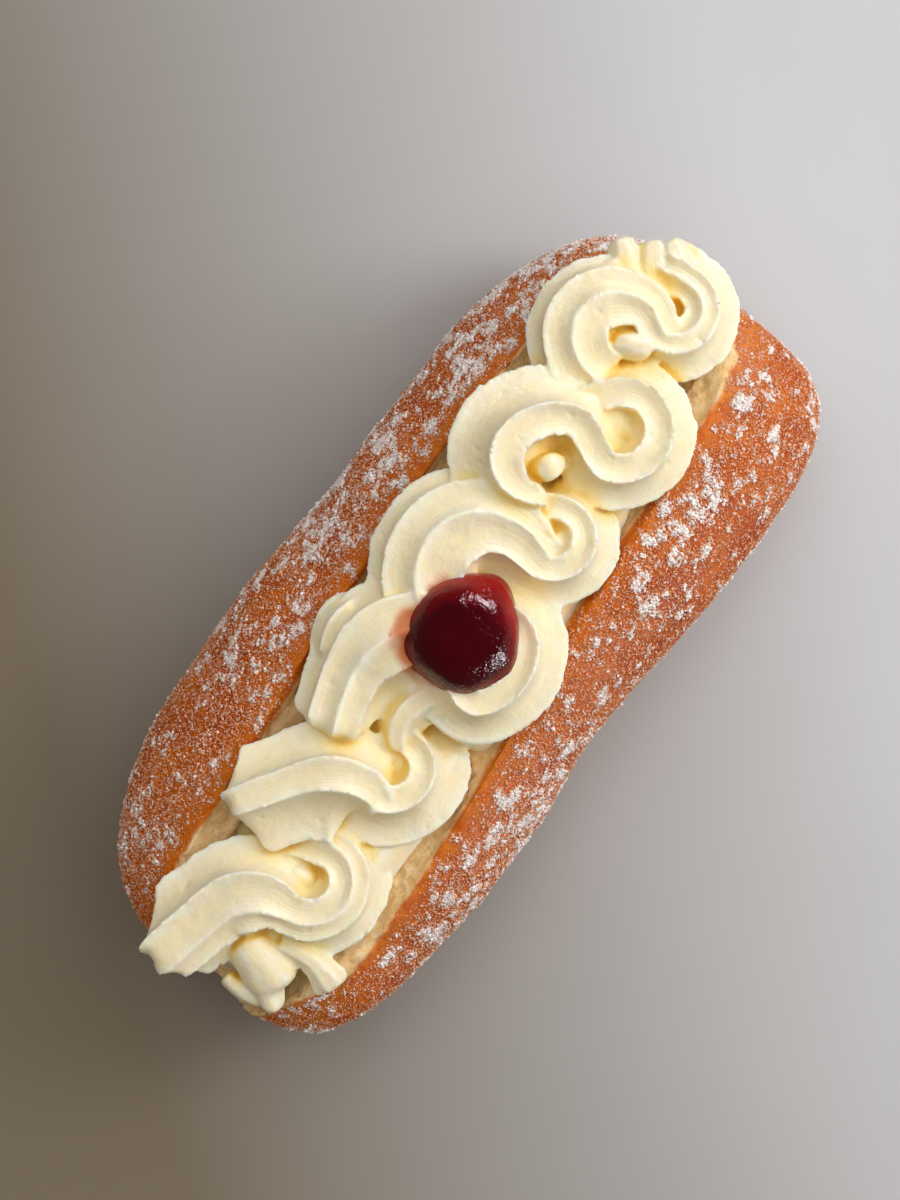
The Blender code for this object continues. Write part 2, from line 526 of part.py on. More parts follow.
def main():
    for old in list(bpy.data.objects):
        bpy.data.objects.remove(old, do_unlink=True)
    parts = collection("paris_bun")
    tools = collection("cutters")
    crust = material("crust", (0.55, 0.21, 0.06), 0.6)
    whipped = material("cream", (0.93, 0.87, 0.66), 0.45)
    fruit = material("jam", (0.28, 0.01, 0.015), 0.12)

    bun = roll_body("bun", 0.0, parts, crust)
    cut(bun, slit_cutter("slit", 0.0, tools))
    cut(bun, floor_cutter("below", tools))
    largest_only(bun)
    clean(bun)

    grown = roll_body("bun_clearance", GAP, tools)
    cut(grown, slit_cutter("slit_clearance", GAP, tools))

    pieces = []
    for i, (*shape, ridges, turn_ridges, cuts, (exit_run, *tips)) in enumerate(SWIRLS):
        control = swirl_path(*shape, exit_run)
        size = (SCOOP, ROPE_HALF_HEIGHT, SWIRL_ENDS)
        pieces.append(rope(f"swirl_{i}", control, tools, ridges, turn_ridges, *size, cuts, tips))
    for i, (start, middle, end, half_widths, half_h, scoop) in enumerate(FOLDS):
        control = [(*p, w) for p, w in zip((start, middle, end), half_widths)]
        ends = (half_widths[0], half_widths[-1])
        pieces.append(rope(f"fold_{i}", control, tools, FOLD_RIDGES, FOLD_RIDGES, scoop, half_h, ends))
    pieces.append(cream_core("core", tools))
    cream = join("cream", pieces, parts, whipped)
    apply_modifier(cream, "REMESH", mode="VOXEL", voxel_size=CREAM_VOXEL * MM, adaptivity=0.0)
    largest_only(cream)
    face_outwards(cream)
    count = len(cream.data.polygons)
    apply_modifier(cream, "DECIMATE", ratio=CREAM_TRIANGLES / count, use_collapse_triangulate=True)
    cut(cream, grown)
    cut(cream, jam_body("jam_clearance", GAP, tools))
    largest_only(cream)
    clean(cream)

    jam = jam_body("jam", 0.0, parts, fruit)
    largest_only(jam)
    clean(jam)

    for piece in (bun, cream, jam):
        for vertex in piece.data.vertices:
            vertex.co.x -= CENTRE_X * MM
            vertex.co.y -= CENTRE_Y * MM

    for tool in tools.objects:
        tool.hide_render = True
        tool.display_type = "WIRE"


main()
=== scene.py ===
"""Paris bun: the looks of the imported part.

The crust, the piped cream and the jam are modelled again at fine detail, in the places where the
part has them, and the sugar crystals on the crust are made as meshes. Lengths are millimetres up
to the moment a mesh is made. +X runs along the roll and +Z is up.
"""

import math

import bmesh
import bpy
import numpy as np
from mathutils import Matrix, Vector
from mathutils.bvhtree import BVHTree


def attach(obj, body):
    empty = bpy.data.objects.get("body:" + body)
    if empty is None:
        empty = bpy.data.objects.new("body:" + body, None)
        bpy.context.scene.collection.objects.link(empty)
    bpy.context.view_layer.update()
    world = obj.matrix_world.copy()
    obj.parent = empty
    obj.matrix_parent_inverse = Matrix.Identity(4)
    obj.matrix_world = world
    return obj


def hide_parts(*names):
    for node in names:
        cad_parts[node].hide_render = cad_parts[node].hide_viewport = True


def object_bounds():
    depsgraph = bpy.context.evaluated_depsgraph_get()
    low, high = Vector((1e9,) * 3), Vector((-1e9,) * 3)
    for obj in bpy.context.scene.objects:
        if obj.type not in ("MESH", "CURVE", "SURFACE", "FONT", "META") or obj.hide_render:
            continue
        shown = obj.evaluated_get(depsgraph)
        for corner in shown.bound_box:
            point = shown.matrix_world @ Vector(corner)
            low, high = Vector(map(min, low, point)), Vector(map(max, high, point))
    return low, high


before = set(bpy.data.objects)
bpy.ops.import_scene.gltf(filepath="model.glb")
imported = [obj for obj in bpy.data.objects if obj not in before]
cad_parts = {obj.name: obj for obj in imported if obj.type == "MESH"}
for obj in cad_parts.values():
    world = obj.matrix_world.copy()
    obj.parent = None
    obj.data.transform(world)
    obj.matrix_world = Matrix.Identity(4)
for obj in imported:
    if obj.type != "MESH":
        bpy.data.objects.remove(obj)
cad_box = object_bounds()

MM = 0.001
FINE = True
CENTRE = np.array([0.44, 0.27, 0.0])  # the part's shapes are worked out round this point

BOX_ROOM = 0.02  # the looks stay this far inside the part's box

# Roll
HALF_LENGTH = 82.5
WAIST_Z, TOP_Z, UNDER_Z = 21.0, 47.0, 4.0
SIDE_PLUS, SIDE_MINUS = 37.4, 36.8
PINCH_PLUS, PINCH_PLUS_X, PINCH_PLUS_REACH = 0.055, 8.0, 24.0
PINCH_MINUS, PINCH_MINUS_X, PINCH_MINUS_REACH = 0.07, 3.0, 27.0
BLUNT_PLUS_LEFT, BLUNT_PLUS_RIGHT = 3.0, 3.5
BLUNT_MINUS_LEFT, BLUNT_MINUS_RIGHT = 4.2, 5.2
BLUNT_UP = 2.7
ROLL_ROUND_TOP, ROLL_ROUND_BOTTOM = 2.25, 2.7
ROLL_STATIONS, ROLL_AROUND = 180, 150
ROLL_END_TRIM = 0.9995  # the end rings keep a little width
CRUST_VOXEL = 0.66 if FINE else 1.0
CRUST_INSET = 0.4  # leaves room for the sugar
# Relief of the crust and the crumb: height, then size of the bumps.
DENT_HEIGHT, DENT_SIZE = 0.7, 17.0
LUMP_HEIGHT, LUMP_SIZE = 0.28, 6.0
WRINKLE_DEPTH, WRINKLE_SIZE = 0.16, 2.2
PORE_DEPTH, PORE_SIZE, PORE_FLOOR = 3.0, 2.3, 0.10
CRUMB_RELIEF = 0.35  # share of the crust's relief that the crumb has
RAGGED_HEIGHT, RAGGED_SIZE = 1.2, 3.2  # how the crust's edge wanders along the lip
CRUMB_DEPTH = 2.2  # crumb shows this near to the slit's wall
CRUMB_EDGE, CRUMB_FADE = 0.1, 0.7  # and up to here outside the lip
INNER_EDGE, INNER_FADE, CRUMB_FACING = -0.6, 0.4, -0.2  # no crust at all inside this

# Slit
SLIT_FLOOR_Z, SLIT_FLOOR_HALF = 15.0, 3.5
LIP_Z, LIP_ROUND = 39.0, 7.0
SHELF_WIDTH, SHELF_DROP = 4.6, 2.6
LIP_PLUS_MID, LIP_PLUS_SLOPE = 18.9, 0.06
LIP_MINUS_MID, LIP_MINUS_SLOPE = -17.6, 0.095
LIP_END_OPENING = 2.0
LIP_WAVE, LIP_WAVE_LENGTH, LIP_WAVE_START, LIP_WAVE_MINUS = 1.2, 19.0, 0.6, 0.8
LIP_TURN = 0.46 * math.pi  # how far the lip rounds over
LIP_RISE, MOUTH_REACH, MOUTH_RISE = 1.1, 2.2, 1.25  # shares of the lip's radius
WALL_FOOT = 1.2  # rise of the rounded floor before the wall starts
WALL_CURVE, WALL_CURVE_BACK = 0.85, 1.18  # how the wall flares, and its inverse
SLIT_STATIONS, SLIT_DETAIL, CORE_DETAIL = 110, 4, 2
SLIT_OVERRUN, SLIT_ABOVE = 12.0, 20.0  # how far the cutting tool passes the roll
SLIT_WALL, FAR = -2.5, 20.0  # lower than this below the wall counts as far from the lip

# Cream
BAND_POINTS, UNDER_POINTS = 26, 10  # round each scooped band on top and underneath
SCOOP, UNDER_SCOOP = 0.24, 0.08  # sag of a band, set against its width
UNDER_RIDGES = (1.28, 1.5, 1.72)  # their bearings, in half turns from the right edge
SQUARE = 0.8  # under 1 makes the section fuller than an oval
EDGE_RISE = 0.18  # the outer ridges lie this much above the rope's middle
ROPE_HALF_HEIGHT = 7.8
SWIRL_ENDS = (3.5, 3.5)  # length of the blunt dome at each end
CUT_REACH = 18.0  # the slant of a swirl's start fades out over this length
TIP_FADE = 2.5  # how fast the torn tips fade into the rope
TIP_MEAN, TIP_SPREAD = 0.55, 0.45  # how the tips of the bands differ in length
TIP_POINTED = 1.5  # how pointed a band's tip is
SMALLEST_END = 0.03  # the section never shrinks further
PULSE, PULSE_LENGTH = 0.03, 5.0  # the rope swells and shrinks along its way
WAVER, WAVER_LENGTH = 0.035, 3.5  # so do its single ridges
MORPH_FROM, MORPH_OVER = 0.3, 0.3  # where the ridges move to their places in the turn
ROPE_STEP, SPLINE_STEPS = 0.45, 12
BEND_STEP, TURN_STEP = 22, 28  # degrees between the path's control points
WIDTH_HANDOVER = 0.6  # how near the bend's end comes to the turn's width and height
SINK_RATE, SINK_START = 1.3, 0.45  # how fast and when a turn sinks to its end
EXIT_FALL = 1.5
CREAM_VOXEL = 0.45 if FINE else 0.7
CREAM_CORE_TOP_Z, CREAM_CORE_GROW, CREAM_CORE_SIDE = 37.5, -0.4, 0.6
CREAM_CORE_END, CREAM_CORE_DIP, CREAM_CORE_DIP_POWER = 77.5, 12.0, 6
CREAM_CORE_CROWN, CREAM_CORE_SHOULDER = 0.008, 15.0
CREAM_CORE_VALLEY, CREAM_CORE_ROUND = 0.6, 0.05  # what its surface counts as for the material
# Relief of the cream: height, then size of the bumps.
TORN_HEIGHT, TORN_SIZE = 0.42, 1.5
TORN_FROM, TORN_OVER, TORN_LEAST = 2.0, 25.0, 0.2  # crests are torn towards +X
CREST_WIDTH = 1.35  # above 1, so that the torn crests end before a band's floor
RIPPLE_HEIGHT, RIPPLE_SIZE = 0.07, 1.2
SWELL_HEIGHT, SWELL_SIZE = 0.28, 7.0
PIT_DEPTH, PIT_SIZE, PIT_FLOOR = 1.8, 1.5, 0.72
CLOSED_RAYS, CLOSED_SEED = 10 if FINE else 4, 11
CLOSED_REACH, CLOSED_START, CLOSED_LEAN = 9.0, 0.25, 1.02  # length, start and lean of the rays
# Each swirl: bend (eye x, y, straight run in, start and end angle, stretch along x), its radii at
# start, crest and end; turn (hollow x, y, radius, start and end angle), half widths at start, crest
# and turn, heights at start, crest, turn and end; ridges across from the right edge at the start
# and in the turn; how far each ridge is cut back at the start; then exit run and length of the torn
# tips at the start and at the end.
SWIRLS = (
    ((-67.5, -6, 15.5, 80, 15, 1), (10.5, 10.3, 9.6),
     (-51.8, -7.4, 6.9, 165, 378), (9.6, 11, 7.6), (39, 41, 39.5, 36),
     (1, 0.74, 0.36, -0.4, -1), (1, 0.5, 0.1, -0.5, -1), (5, 2.5, -1, 0, 9), (9, 3, 0)),
    ((-46, -6.5, 14, 58, 8, 1), (13.8, 13.8, 13.6),
     (-26.6, -6.2, 7, 170, 378), (10.4, 12.6, 7.8), (43, 44, 41, 37),
     (1, 0.12, -0.4, -1), (1, 0.14, -0.5, -1), (4, 0, 0, 5), (9, 2.4, 0)),
    ((-13.6, -1, 9, 118, 0, 1.28), (11.6, 11, 8.6),
     (-0.4, -7.2, 7.8, 195, 385), (8.6, 12, 7.2), (43, 45.5, 44.8, 43),
     (1, 0.56, 0, -0.62, -1), (1, 0.2, -0.45, -0.8, -1), (6, 0, 0, 1, 3), (6, 1, 0)),
    ((11.5, 1.2, 0, 180, -10, 1), (11.6, 11.2, 8.4),
     (24.3, -3.7, 6.3, 190, 390), (10.2, 11.6, 6.8), (43, 46, 43.5, 41.5),
     (1, 0.62, -0.18, -0.74, -1), (1, 0.27, -0.4, -0.8, -1), (0, 0, 0, 2, 6), (8, 1, 0)),
    ((60.4, 7.4, 0, 190, 5, 1), (7.6, 9.6, 6.9),
     (70.7, 4.2, 6.5, 185, 368), (8.2, 9.6, 6.6), (41, 44, 41, 40),
     (1, 0.6, -0.1, -0.68, -1), (1, 0.3, -0.2, -0.7, -1), (0, 0, 0, 0, 0), (5, 0, 4.5)),
    ((33.9, 5, 0, 215, -5, 1), (6.8, 10.6, 10.6),
     (47, -1.4, 7.5, 185, 425), (4.6, 8.8, 7.2), (45, 48, 44.5, 42),
     (1, 0.65, -0.05, -1), (1, 0.35, -0.42, -1), (0, 0, 0, 0), (3, 0, 0)),
)
# Each fold: start, middle, end, half widths at those, half height, depth of its scoops.
FOLDS = (
    ((-67.6, -3.5, 40), (-69.8, -10.5, 40.4), (-71.2, -15.6, 39.2), (4.6, 4.8, 5.2), 4.2, -0.13),
    ((-70.8, -10.5, 39.6), (-73.4, -13.8, 39.2), (-75.6, -16.6, 38.4), (3.6, 3, 1.8), 3.2, -0.1),
    ((-76, -5, 37.4), (-76.4, -10, 37.4), (-76, -13.8, 36.6), (1.8, 2, 1.3), 3.2, -0.08),
    ((-64.4, -9, 41.5), (-62.9, -17, 41), (-65.6, -23.4, 40.4), (3.4, 2, 5), 2.4, 0.06),
    ((33, 3, 47.6), (34, 4.9, 48.4), (35, 6.8, 47.8), (3.2, 3.7, 3.2), 4, -0.12),
    ((-22.6, -4.6, 41), (-18.6, -0.8, 43.8), (-9.5, -4.2, 43), (3.2, 4.6, 5.2), 4.8, 0.08),
    ((59.5, 9, 45), (60.9, 6.2, 46.8), (62.3, 3.4, 45), (2.6, 3, 2.4), 3.4, -0.06),
    ((66, 13, 41.5), (69.6, 17.2, 43.2), (71.6, 19.6, 43.6), (3.8, 3.2, 2.2), 3, -0.04),
    ((67, 11.5, 41), (72.8, 16.8, 43.2), (75.6, 20.6, 43.4), (4.4, 3.6, 2), 3, 0),
    ((70.4, 8, 41.2), (75.6, 12.4, 42.6), (79.2, 15.4, 42.2), (4.8, 4.6, 2.8), 3.2, 0),
    ((74.4, 5, 41), (78.8, 9.6, 42.6), (81, 13.2, 42.6), (3.8, 3.4, 2.2), 3.2, 0),
    ((-17.8, 15.8, 43.4), (-12, 18.4, 44.4), (-5.8, 16.8, 43.8), (3.4, 4.6, 4), 4.8, 0.1),
    ((-54.2, -1, 37), (-53.4, -5, 38.6), (-52.4, -8.6, 38), (3.2, 4.4, 4.4), 4.4, -0.06),
    ((-27.6, -1.5, 38), (-26.4, -5, 38.6), (-25.4, -9, 38.6), (4.4, 5.4, 5), 4.2, 0.02),
    ((11.6, 3.5, 41.5), (13.2, -4, 42), (12.6, -11.5, 40), (3.2, 3.6, 3), 4.4, -0.06),
    ((23.6, 0.5, 40.5), (23.9, -2.5, 41.5), (24.4, -6, 40.5), (3, 3.6, 3.4), 4.6, -0.06),
    ((49.4, 3.6, 43), (48.4, 0, 43.5), (47, -3.8, 42), (3, 3.6, 3.4), 4.6, -0.06),
    ((31, 1.4, 41.5), (34.4, -1, 42.2), (38, -3.6, 41), (3.4, 4, 3.4), 4, -0.06),
    ((70.6, 8, 39.5), (70, 4.6, 40), (69, 1, 39.5), (3.2, 3.8, 3.4), 4.2, 0.04),
    ((-60, -13.5, 36), (-40, -11.8, 37.2), (-14, -12.2, 38.4), (6, 6.8, 6.6), 4.4, -0.04),
    ((-16, -12.6, 38.2), (20, -9.4, 38.6), (58, -2, 38.4), (6.4, 6.2, 6), 4.4, -0.04),
)
FOLD_RIDGES = (1, 0.35, -0.35, -1)

# Jam
JAM_X, JAM_Y, JAM_Z = 0.7, -1.5, 48.0
JAM_HALF_X, JAM_HALF_Y, JAM_HALF_Z = 11.3, 10.6, 9.4
JAM_UNDER = 0.5  # height of the hidden lower half, set against the upper one
JAM_SQUARE = 0.8
JAM_WAVES = ((0.035, 3, 0.7), (0.025, 5, 2.0))  # height, number round the rim, start
JAM_DENTS = ((0.55, 7.0, 81), (0.16, 2.4, 83))  # height, size, seed
JAM_AROUND, JAM_RINGS = 160, 80
# Painted light: the jam's rim and its +X side are painted a brighter red, in place of light shining
# through the clear jam.
RIM, LIT_RIM, LIT_LEAN, LIT_FROM = 0.95, 0.45, 0.15, -0.1  # how its clear rim lets light through
SHADED_FROM, SHADED_LEAN = 0.5, 0.3  # the dull side
STAIN_SIZE, STAIN_RAGGED, STAIN_BACK, STAIN_LEAN, STAIN_SKEW = 4.5, 0.24, 0.23, 0.14, 0.5
STAIN_WIDTH, STAIN_DEPTH = 0.20, 0.85

# Sugar
CUBE = np.array([(x, y, z) for x in (-1, 1) for y in (-1, 1) for z in (-1, 1)], float)
CUBE_FACES = np.array(
    [(0, 1, 3, 2), (4, 6, 7, 5), (0, 4, 5, 1), (2, 3, 7, 6), (0, 2, 6, 4), (1, 5, 7, 3)]
)
SHARD = np.array([(1, 1, 1), (1, -1, -1), (-1, 1, -1), (-1, -1, 1)], float)
SHARD_FACES = np.array([(0, 1, 2), (0, 2, 3), (0, 3, 1), (1, 3, 2)])
# Form, its faces, number of grains, pieces, smallest and largest size, how much they clump.
GRAIN_KINDS = (
    (CUBE, CUBE_FACES, 13000 if FINE else 2000, 1, 0.24, 0.56, 1.5),
    (SHARD, SHARD_FACES, 100000 if FINE else 10000, 4, 0.17, 0.44, 0.8),
)
GRAIN_SEED = 5
GRAIN_STRETCH = (0.7, 1.15)  # least and most size along each of a grain's own axes
GRAIN_CORNER = 0.06  # how far off its corners are, set against its size
GRAIN_RISE = 0.12  # how far its middle stands above the crust, set against its size
HEAP = 0.30  # how high grains lie on each other where the sugar is thick
SIDE_SUGAR = 0.25  # upright faces hold this share of what level ones do
WHITER = 0.55  # how much whiter than its place a grain may be
BARE_Z, BARE_FADE = 3.0, 9.0  # the foot of the roll is bare
CLUMP_SIZE, PATCH_SIZE = 2.7, 16.0
CLUMP_COVER, CLUMP_LEVEL, CLUMP_EDGE = 0.75, 0.07, 0.20
THIN_PLUS, THIN_MINUS, PATCH_COVER = 0.17, 0.13, 0.08  # cover between the clumps
LEAN_PLUS, LEAN_MINUS = 0.0014, -0.05  # more clumps towards +X on the +Y side, fewer on the other
LIP_BARE, LIP_RAGGED, LIP_FADE = 0.6, 2.5, 4.5  # bare band along the lip

# Colours as displayed, 0 to 255
CRUST_BROWN, CRUST_GOLD = (174, 68, 2), (216, 112, 10)
CRUST_PATCH, CRUST_SPECK = (132, 38, 0), (138, 46, 0)
BAND_BROWN, BAND_GOLD = (194, 88, 0), (228, 132, 10)
CRUST_FOOT, CRUST_DUST = (206, 132, 82), (208, 142, 96)
CRUMB_TAN, CRUMB_PALE, CRUMB_SPECK = (234, 196, 132), (246, 226, 180), (204, 146, 82)
CREAM_PALE, CREAM_WARM, CREAM_LUMP = (255, 247, 232), (254, 240, 217), (248, 228, 182)
# The valley, fold and crease colours of the cream are painted shade, for its band hollows, its
# folds and its deep creases.
CREAM_VALLEY_PAINTED_SHADE, CREAM_FOLD_PAINTED_SHADE, CREAM_CREASE_PAINTED_SHADE = (245, 229, 184), (246, 220, 128), (228, 178, 50)
JAM_STAIN, JAM_DARK, JAM_LIT = (210, 108, 20), (64, 0, 9), (154, 0, 8)
GRAIN_LONE, GRAIN_HEAPED = (222, 142, 76), (250, 240, 234)
# TABLE_SHADE is painted shade, laid on the table towards its dim side.
TABLE_PALE, TABLE_GREY, TABLE_SHADE = (203, 205, 207), (197, 199, 200), (162, 146, 122)
WHITE = (255, 255, 255)

# Camera and light
CAMERA_X, CAMERA_Y, CAMERA_HEIGHT = 4.2, 4.2, 450.0
ROLL_TURN = 52.3  # degrees from the picture's right to +X, turning up
PICTURE_TALL = 1200
MM_PER_PIXEL = 0.1925  # at the height of the roll's widest level
SENSOR_WIDTH = 36.0
WORLD_LEVEL, WORLD_ZENITH = 0.24, 0.12
WORLD_COLOUR, LAMP_COLOUR = (1.0, 0.86, 0.68, 1.0), (1.0, 0.985, 1.01)
LAMP_AIM = Vector((0.0, 0.0, 0.03))
# Lamps: name, bearing from +X and height in degrees, distance, power, width and height in metres,
# and whether it only makes highlights or only lights.
LAMPS = (
    ("window", -36, 38, 0.5, 0.95, 0.18, 0.18, False),
    ("bright_wall", -20, 70, 1.0, 6.4, 1.2, 1.2, False),
    ("far_wall", 75, 50, 2.5, 14.0, 2.5, 2.5, False),
    ("glint", 5, 32, 2.5, 230.0, 2.0, 0.8, True),
    ("low_glint", -86, 12, 2.5, 80.0, 1.0, 0.5, True),
)
TABLE_REACH = 1.5
# Painted shade on the table: it is painted darker away from this way, in place of the bun's shadow
# and the falloff of light.
FLOOR_LIT = (0.82, -0.58)  # the table gets brighter this way
FLOOR_FADE, FLOOR_CURVE = 0.085, 1.15  # over this distance in metres to each side, and how


# ---- shared shape functions ----
def ease(t):
    t = np.clip(t, 0.0, 1.0)
    return t * t * (3.0 - 2.0 * t)


def lattice(ix, iy, iz, seed):
    """A repeatable value from 0 to 1 for each point of a lattice."""
    mask = np.uint64(0xFFFFFFFF)
    h = ix * 374761393 + iy * 668265263 + iz * 1440662683 + seed * 1274126177
    h = h.astype(np.int64).astype(np.uint64) & mask
    h = ((h ^ (h >> np.uint64(13))) * np.uint64(1274126177)) & mask
    h = ((h ^ (h >> np.uint64(15))) * np.uint64(2246822519)) & mask
    h = h ^ (h >> np.uint64(16))
    return h.astype(np.float64) / 4294967295.0


def noise3(points, size, seed=0):
    """Smooth noise from -1 to 1 at each point, with bumps about as large as size."""
    q = np.asarray(points, float) / size + 1000.0
    cell = np.floor(q).astype(np.int64)
    f = q - cell
    f = f * f * (3.0 - 2.0 * f)
    total = np.zeros(len(q))
    for dx in (0, 1):
        wx = f[:, 0] if dx else 1.0 - f[:, 0]
        for dy in (0, 1):
            wy = f[:, 1] if dy else 1.0 - f[:, 1]
            for dz in (0, 1):
                wz = f[:, 2] if dz else 1.0 - f[:, 2]
                corner = lattice(cell[:, 0] + dx, cell[:, 1] + dy, cell[:, 2] + dz, seed)
                total += wx * wy * wz * corner
    return total * 2.0 - 1.0


def fractal(points, size, octaves=3, seed=0, keep=0.55):
    """Noise at several sizes, each half the last and keep times as strong."""
    total, amount, whole = 0.0, 1.0, 0.0
    for i in range(octaves):
        total = total + amount * noise3(points, size / 2.0**i, seed + 17 * i)
        whole += amount
        amount *= keep
    return total / whole


def placed(name, data):
    made = bpy.data.objects.new(name, data)
    bpy.context.scene.collection.objects.link(made)
    return made


def mesh_object(name, verts, faces):
    """A mesh from places in millimetres, its faces turned outwards."""
    mesh = bpy.data.meshes.new(name)
    mesh.from_pydata([tuple(v) for v in (np.asarray(verts) - CENTRE) * MM], [], faces)
    made = placed(name, mesh)
    bm = bmesh.new()
    bm.from_mesh(mesh)
    bmesh.ops.recalc_face_normals(bm, faces=bm.faces)
    bm.to_mesh(mesh)
    bm.free()
    return made


def loft_faces(rings, around):
    """Faces between rings of points, closed at both ends."""
    faces = []
    for i in range(rings - 1):
        a, b = i * around, (i + 1) * around
        for j in range(around):
            k = (j + 1) % around
            faces.append((a + j, a + k, b + k, b + j))
    faces.append(tuple(reversed(range(around))))
    faces.append(tuple(range((rings - 1) * around, rings * around)))
    return faces


def apply_modifier(target, kind, **settings):
    made = target.modifiers.new(kind.title(), kind)
    for key, value in settings.items():
        setattr(made, key, value)
    graph = bpy.context.evaluated_depsgraph_get()
    mesh = bpy.data.meshes.new_from_object(target.evaluated_get(graph))
    target.modifiers.clear()
    old, target.data = target.data, mesh
    bpy.data.meshes.remove(old)


def rows_of(parts, name, wide, kind=float):
    """A value of each vertex, edge or triangle, as the rows of a table."""
    values = np.empty(len(parts) * wide, kind)
    parts.foreach_get(name, values)
    return values.reshape(-1, wide)


def coordinates(target):
    """Vertex places in millimetres, in the frame of the shapes."""
    return rows_of(target.data.vertices, "co", 3) / MM + CENTRE


def normals(target):
    return rows_of(target.data.vertices, "normal", 3)


def edges_of(target):
    return rows_of(target.data.edges, "vertices", 2, np.int64)


def move_to(target, points):
    """Moves the vertices and shades the faces smooth."""
    target.data.vertices.foreach_set("co", ((points - CENTRE) * MM).ravel())
    target.data.polygons.foreach_set("use_smooth", [True] * len(target.data.polygons))
    target.data.update()


def held_inside(points):
    """Points moved, where they reach further, to just inside the part's box."""
    low = np.array(cad_box[0]) / MM + CENTRE + BOX_ROOM
    high = np.array(cad_box[1]) / MM + CENTRE - BOX_ROOM
    low[2] = 0.0
    return np.clip(points, low, high)


def give(target, name, values):
    """Stores a value for each vertex, which a material reads."""
    made = target.data.attributes.new(name, "FLOAT", "POINT")
    made.data.foreach_set("value", np.asarray(values, np.float32))


def spread(values, pairs, rounds):
    """Average values with their neighbours along the edges."""
    count = len(values)
    ends = np.bincount(pairs.ravel(), minlength=count).astype(float)
    for _ in range(rounds):
        total = np.bincount(pairs[:, 0], values[pairs[:, 1]], count)
        total += np.bincount(pairs[:, 1], values[pairs[:, 0]], count)
        values = 0.5 * values + 0.5 * total / np.maximum(ends, 1.0)
    return values


def keep_largest(target):
    """Drops everything but the largest connected body."""
    pairs = edges_of(target)
    label = np.arange(len(target.data.vertices))
    while True:
        low = np.minimum(label[pairs[:, 0]], label[pairs[:, 1]])
        new = label.copy()
        np.minimum.at(new, pairs[:, 0], low)
        np.minimum.at(new, pairs[:, 1], low)
        new = new[new]
        if (new == label).all():
            break
        label = new
    names, counts = np.unique(label, return_counts=True)
    drop = label != names[counts.argmax()]
    if drop.any():
        bm = bmesh.new()
        bm.from_mesh(target.data)
        lost = [vert for vert, gone in zip(bm.verts, drop) if gone]
        bmesh.ops.delete(bm, geom=lost, context="VERTS")
        bm.to_mesh(target.data)
        bm.free()


def tree_of(target):
    points = coordinates(target)
    polygons = [tuple(p.vertices) for p in target.data.polygons]
    return BVHTree.FromPolygons([tuple(p) for p in points], polygons)


# ---- roll ----
def blunt(part, power):
    """Height of a blunt dome at a share of its half length."""
    return np.maximum(1.0 - np.abs(part) ** power, 0.0) ** (1.0 / power)


def roll_sides(x):
    """Half widths of the roll towards +Y and -Y."""
    part = x / HALF_LENGTH
    plus = blunt(part, BLUNT_PLUS_LEFT if x < 0 else BLUNT_PLUS_RIGHT)
    minus = blunt(part, BLUNT_MINUS_LEFT if x < 0 else BLUNT_MINUS_RIGHT)
    plus *= 1.0 - PINCH_PLUS * math.exp(-(((x - PINCH_PLUS_X) / PINCH_PLUS_REACH) ** 2))
    minus *= 1.0 - PINCH_MINUS * math.exp(-(((x - PINCH_MINUS_X) / PINCH_MINUS_REACH) ** 2))
    return SIDE_PLUS * plus, SIDE_MINUS * minus


def roll_body():
    steps = np.linspace(-1.0, 1.0, ROLL_STATIONS)
    angle = 2.0 * np.pi * np.arange(ROLL_AROUND) / ROLL_AROUND
    c, s = np.cos(angle), np.sin(angle)
    power = 2.0 / np.where(s > 0, ROLL_ROUND_TOP, ROLL_ROUND_BOTTOM)
    rings = []
    for x in np.sin(steps * np.pi / 2.0) * HALF_LENGTH * ROLL_END_TRIM:
        plus, minus = roll_sides(x)
        rise = blunt(x / HALF_LENGTH, BLUNT_UP)
        y = np.sign(c) * np.abs(c) ** power * np.where(c > 0, plus, minus)
        tall = np.where(s > 0, TOP_Z - WAIST_Z, WAIST_Z + UNDER_Z) * rise
        z = np.sign(s) * np.abs(s) ** power * tall
        rings.append(np.column_stack([np.full(ROLL_AROUND, x), y, WAIST_Z + z]))
    return mesh_object("bun_crust", np.vstack(rings), loft_faces(len(rings), ROLL_AROUND))


def lips(x):
    """Where the lip of each lobe lies across the roll."""
    opening = LIP_END_OPENING * (x / HALF_LENGTH) ** 4
    wave = LIP_WAVE * np.sin(x / LIP_WAVE_LENGTH + LIP_WAVE_START)
    plus = LIP_PLUS_MID + LIP_PLUS_SLOPE * x + wave - opening
    minus = LIP_MINUS_MID + LIP_MINUS_SLOPE * x + LIP_WAVE_MINUS * wave + opening
    return plus, minus


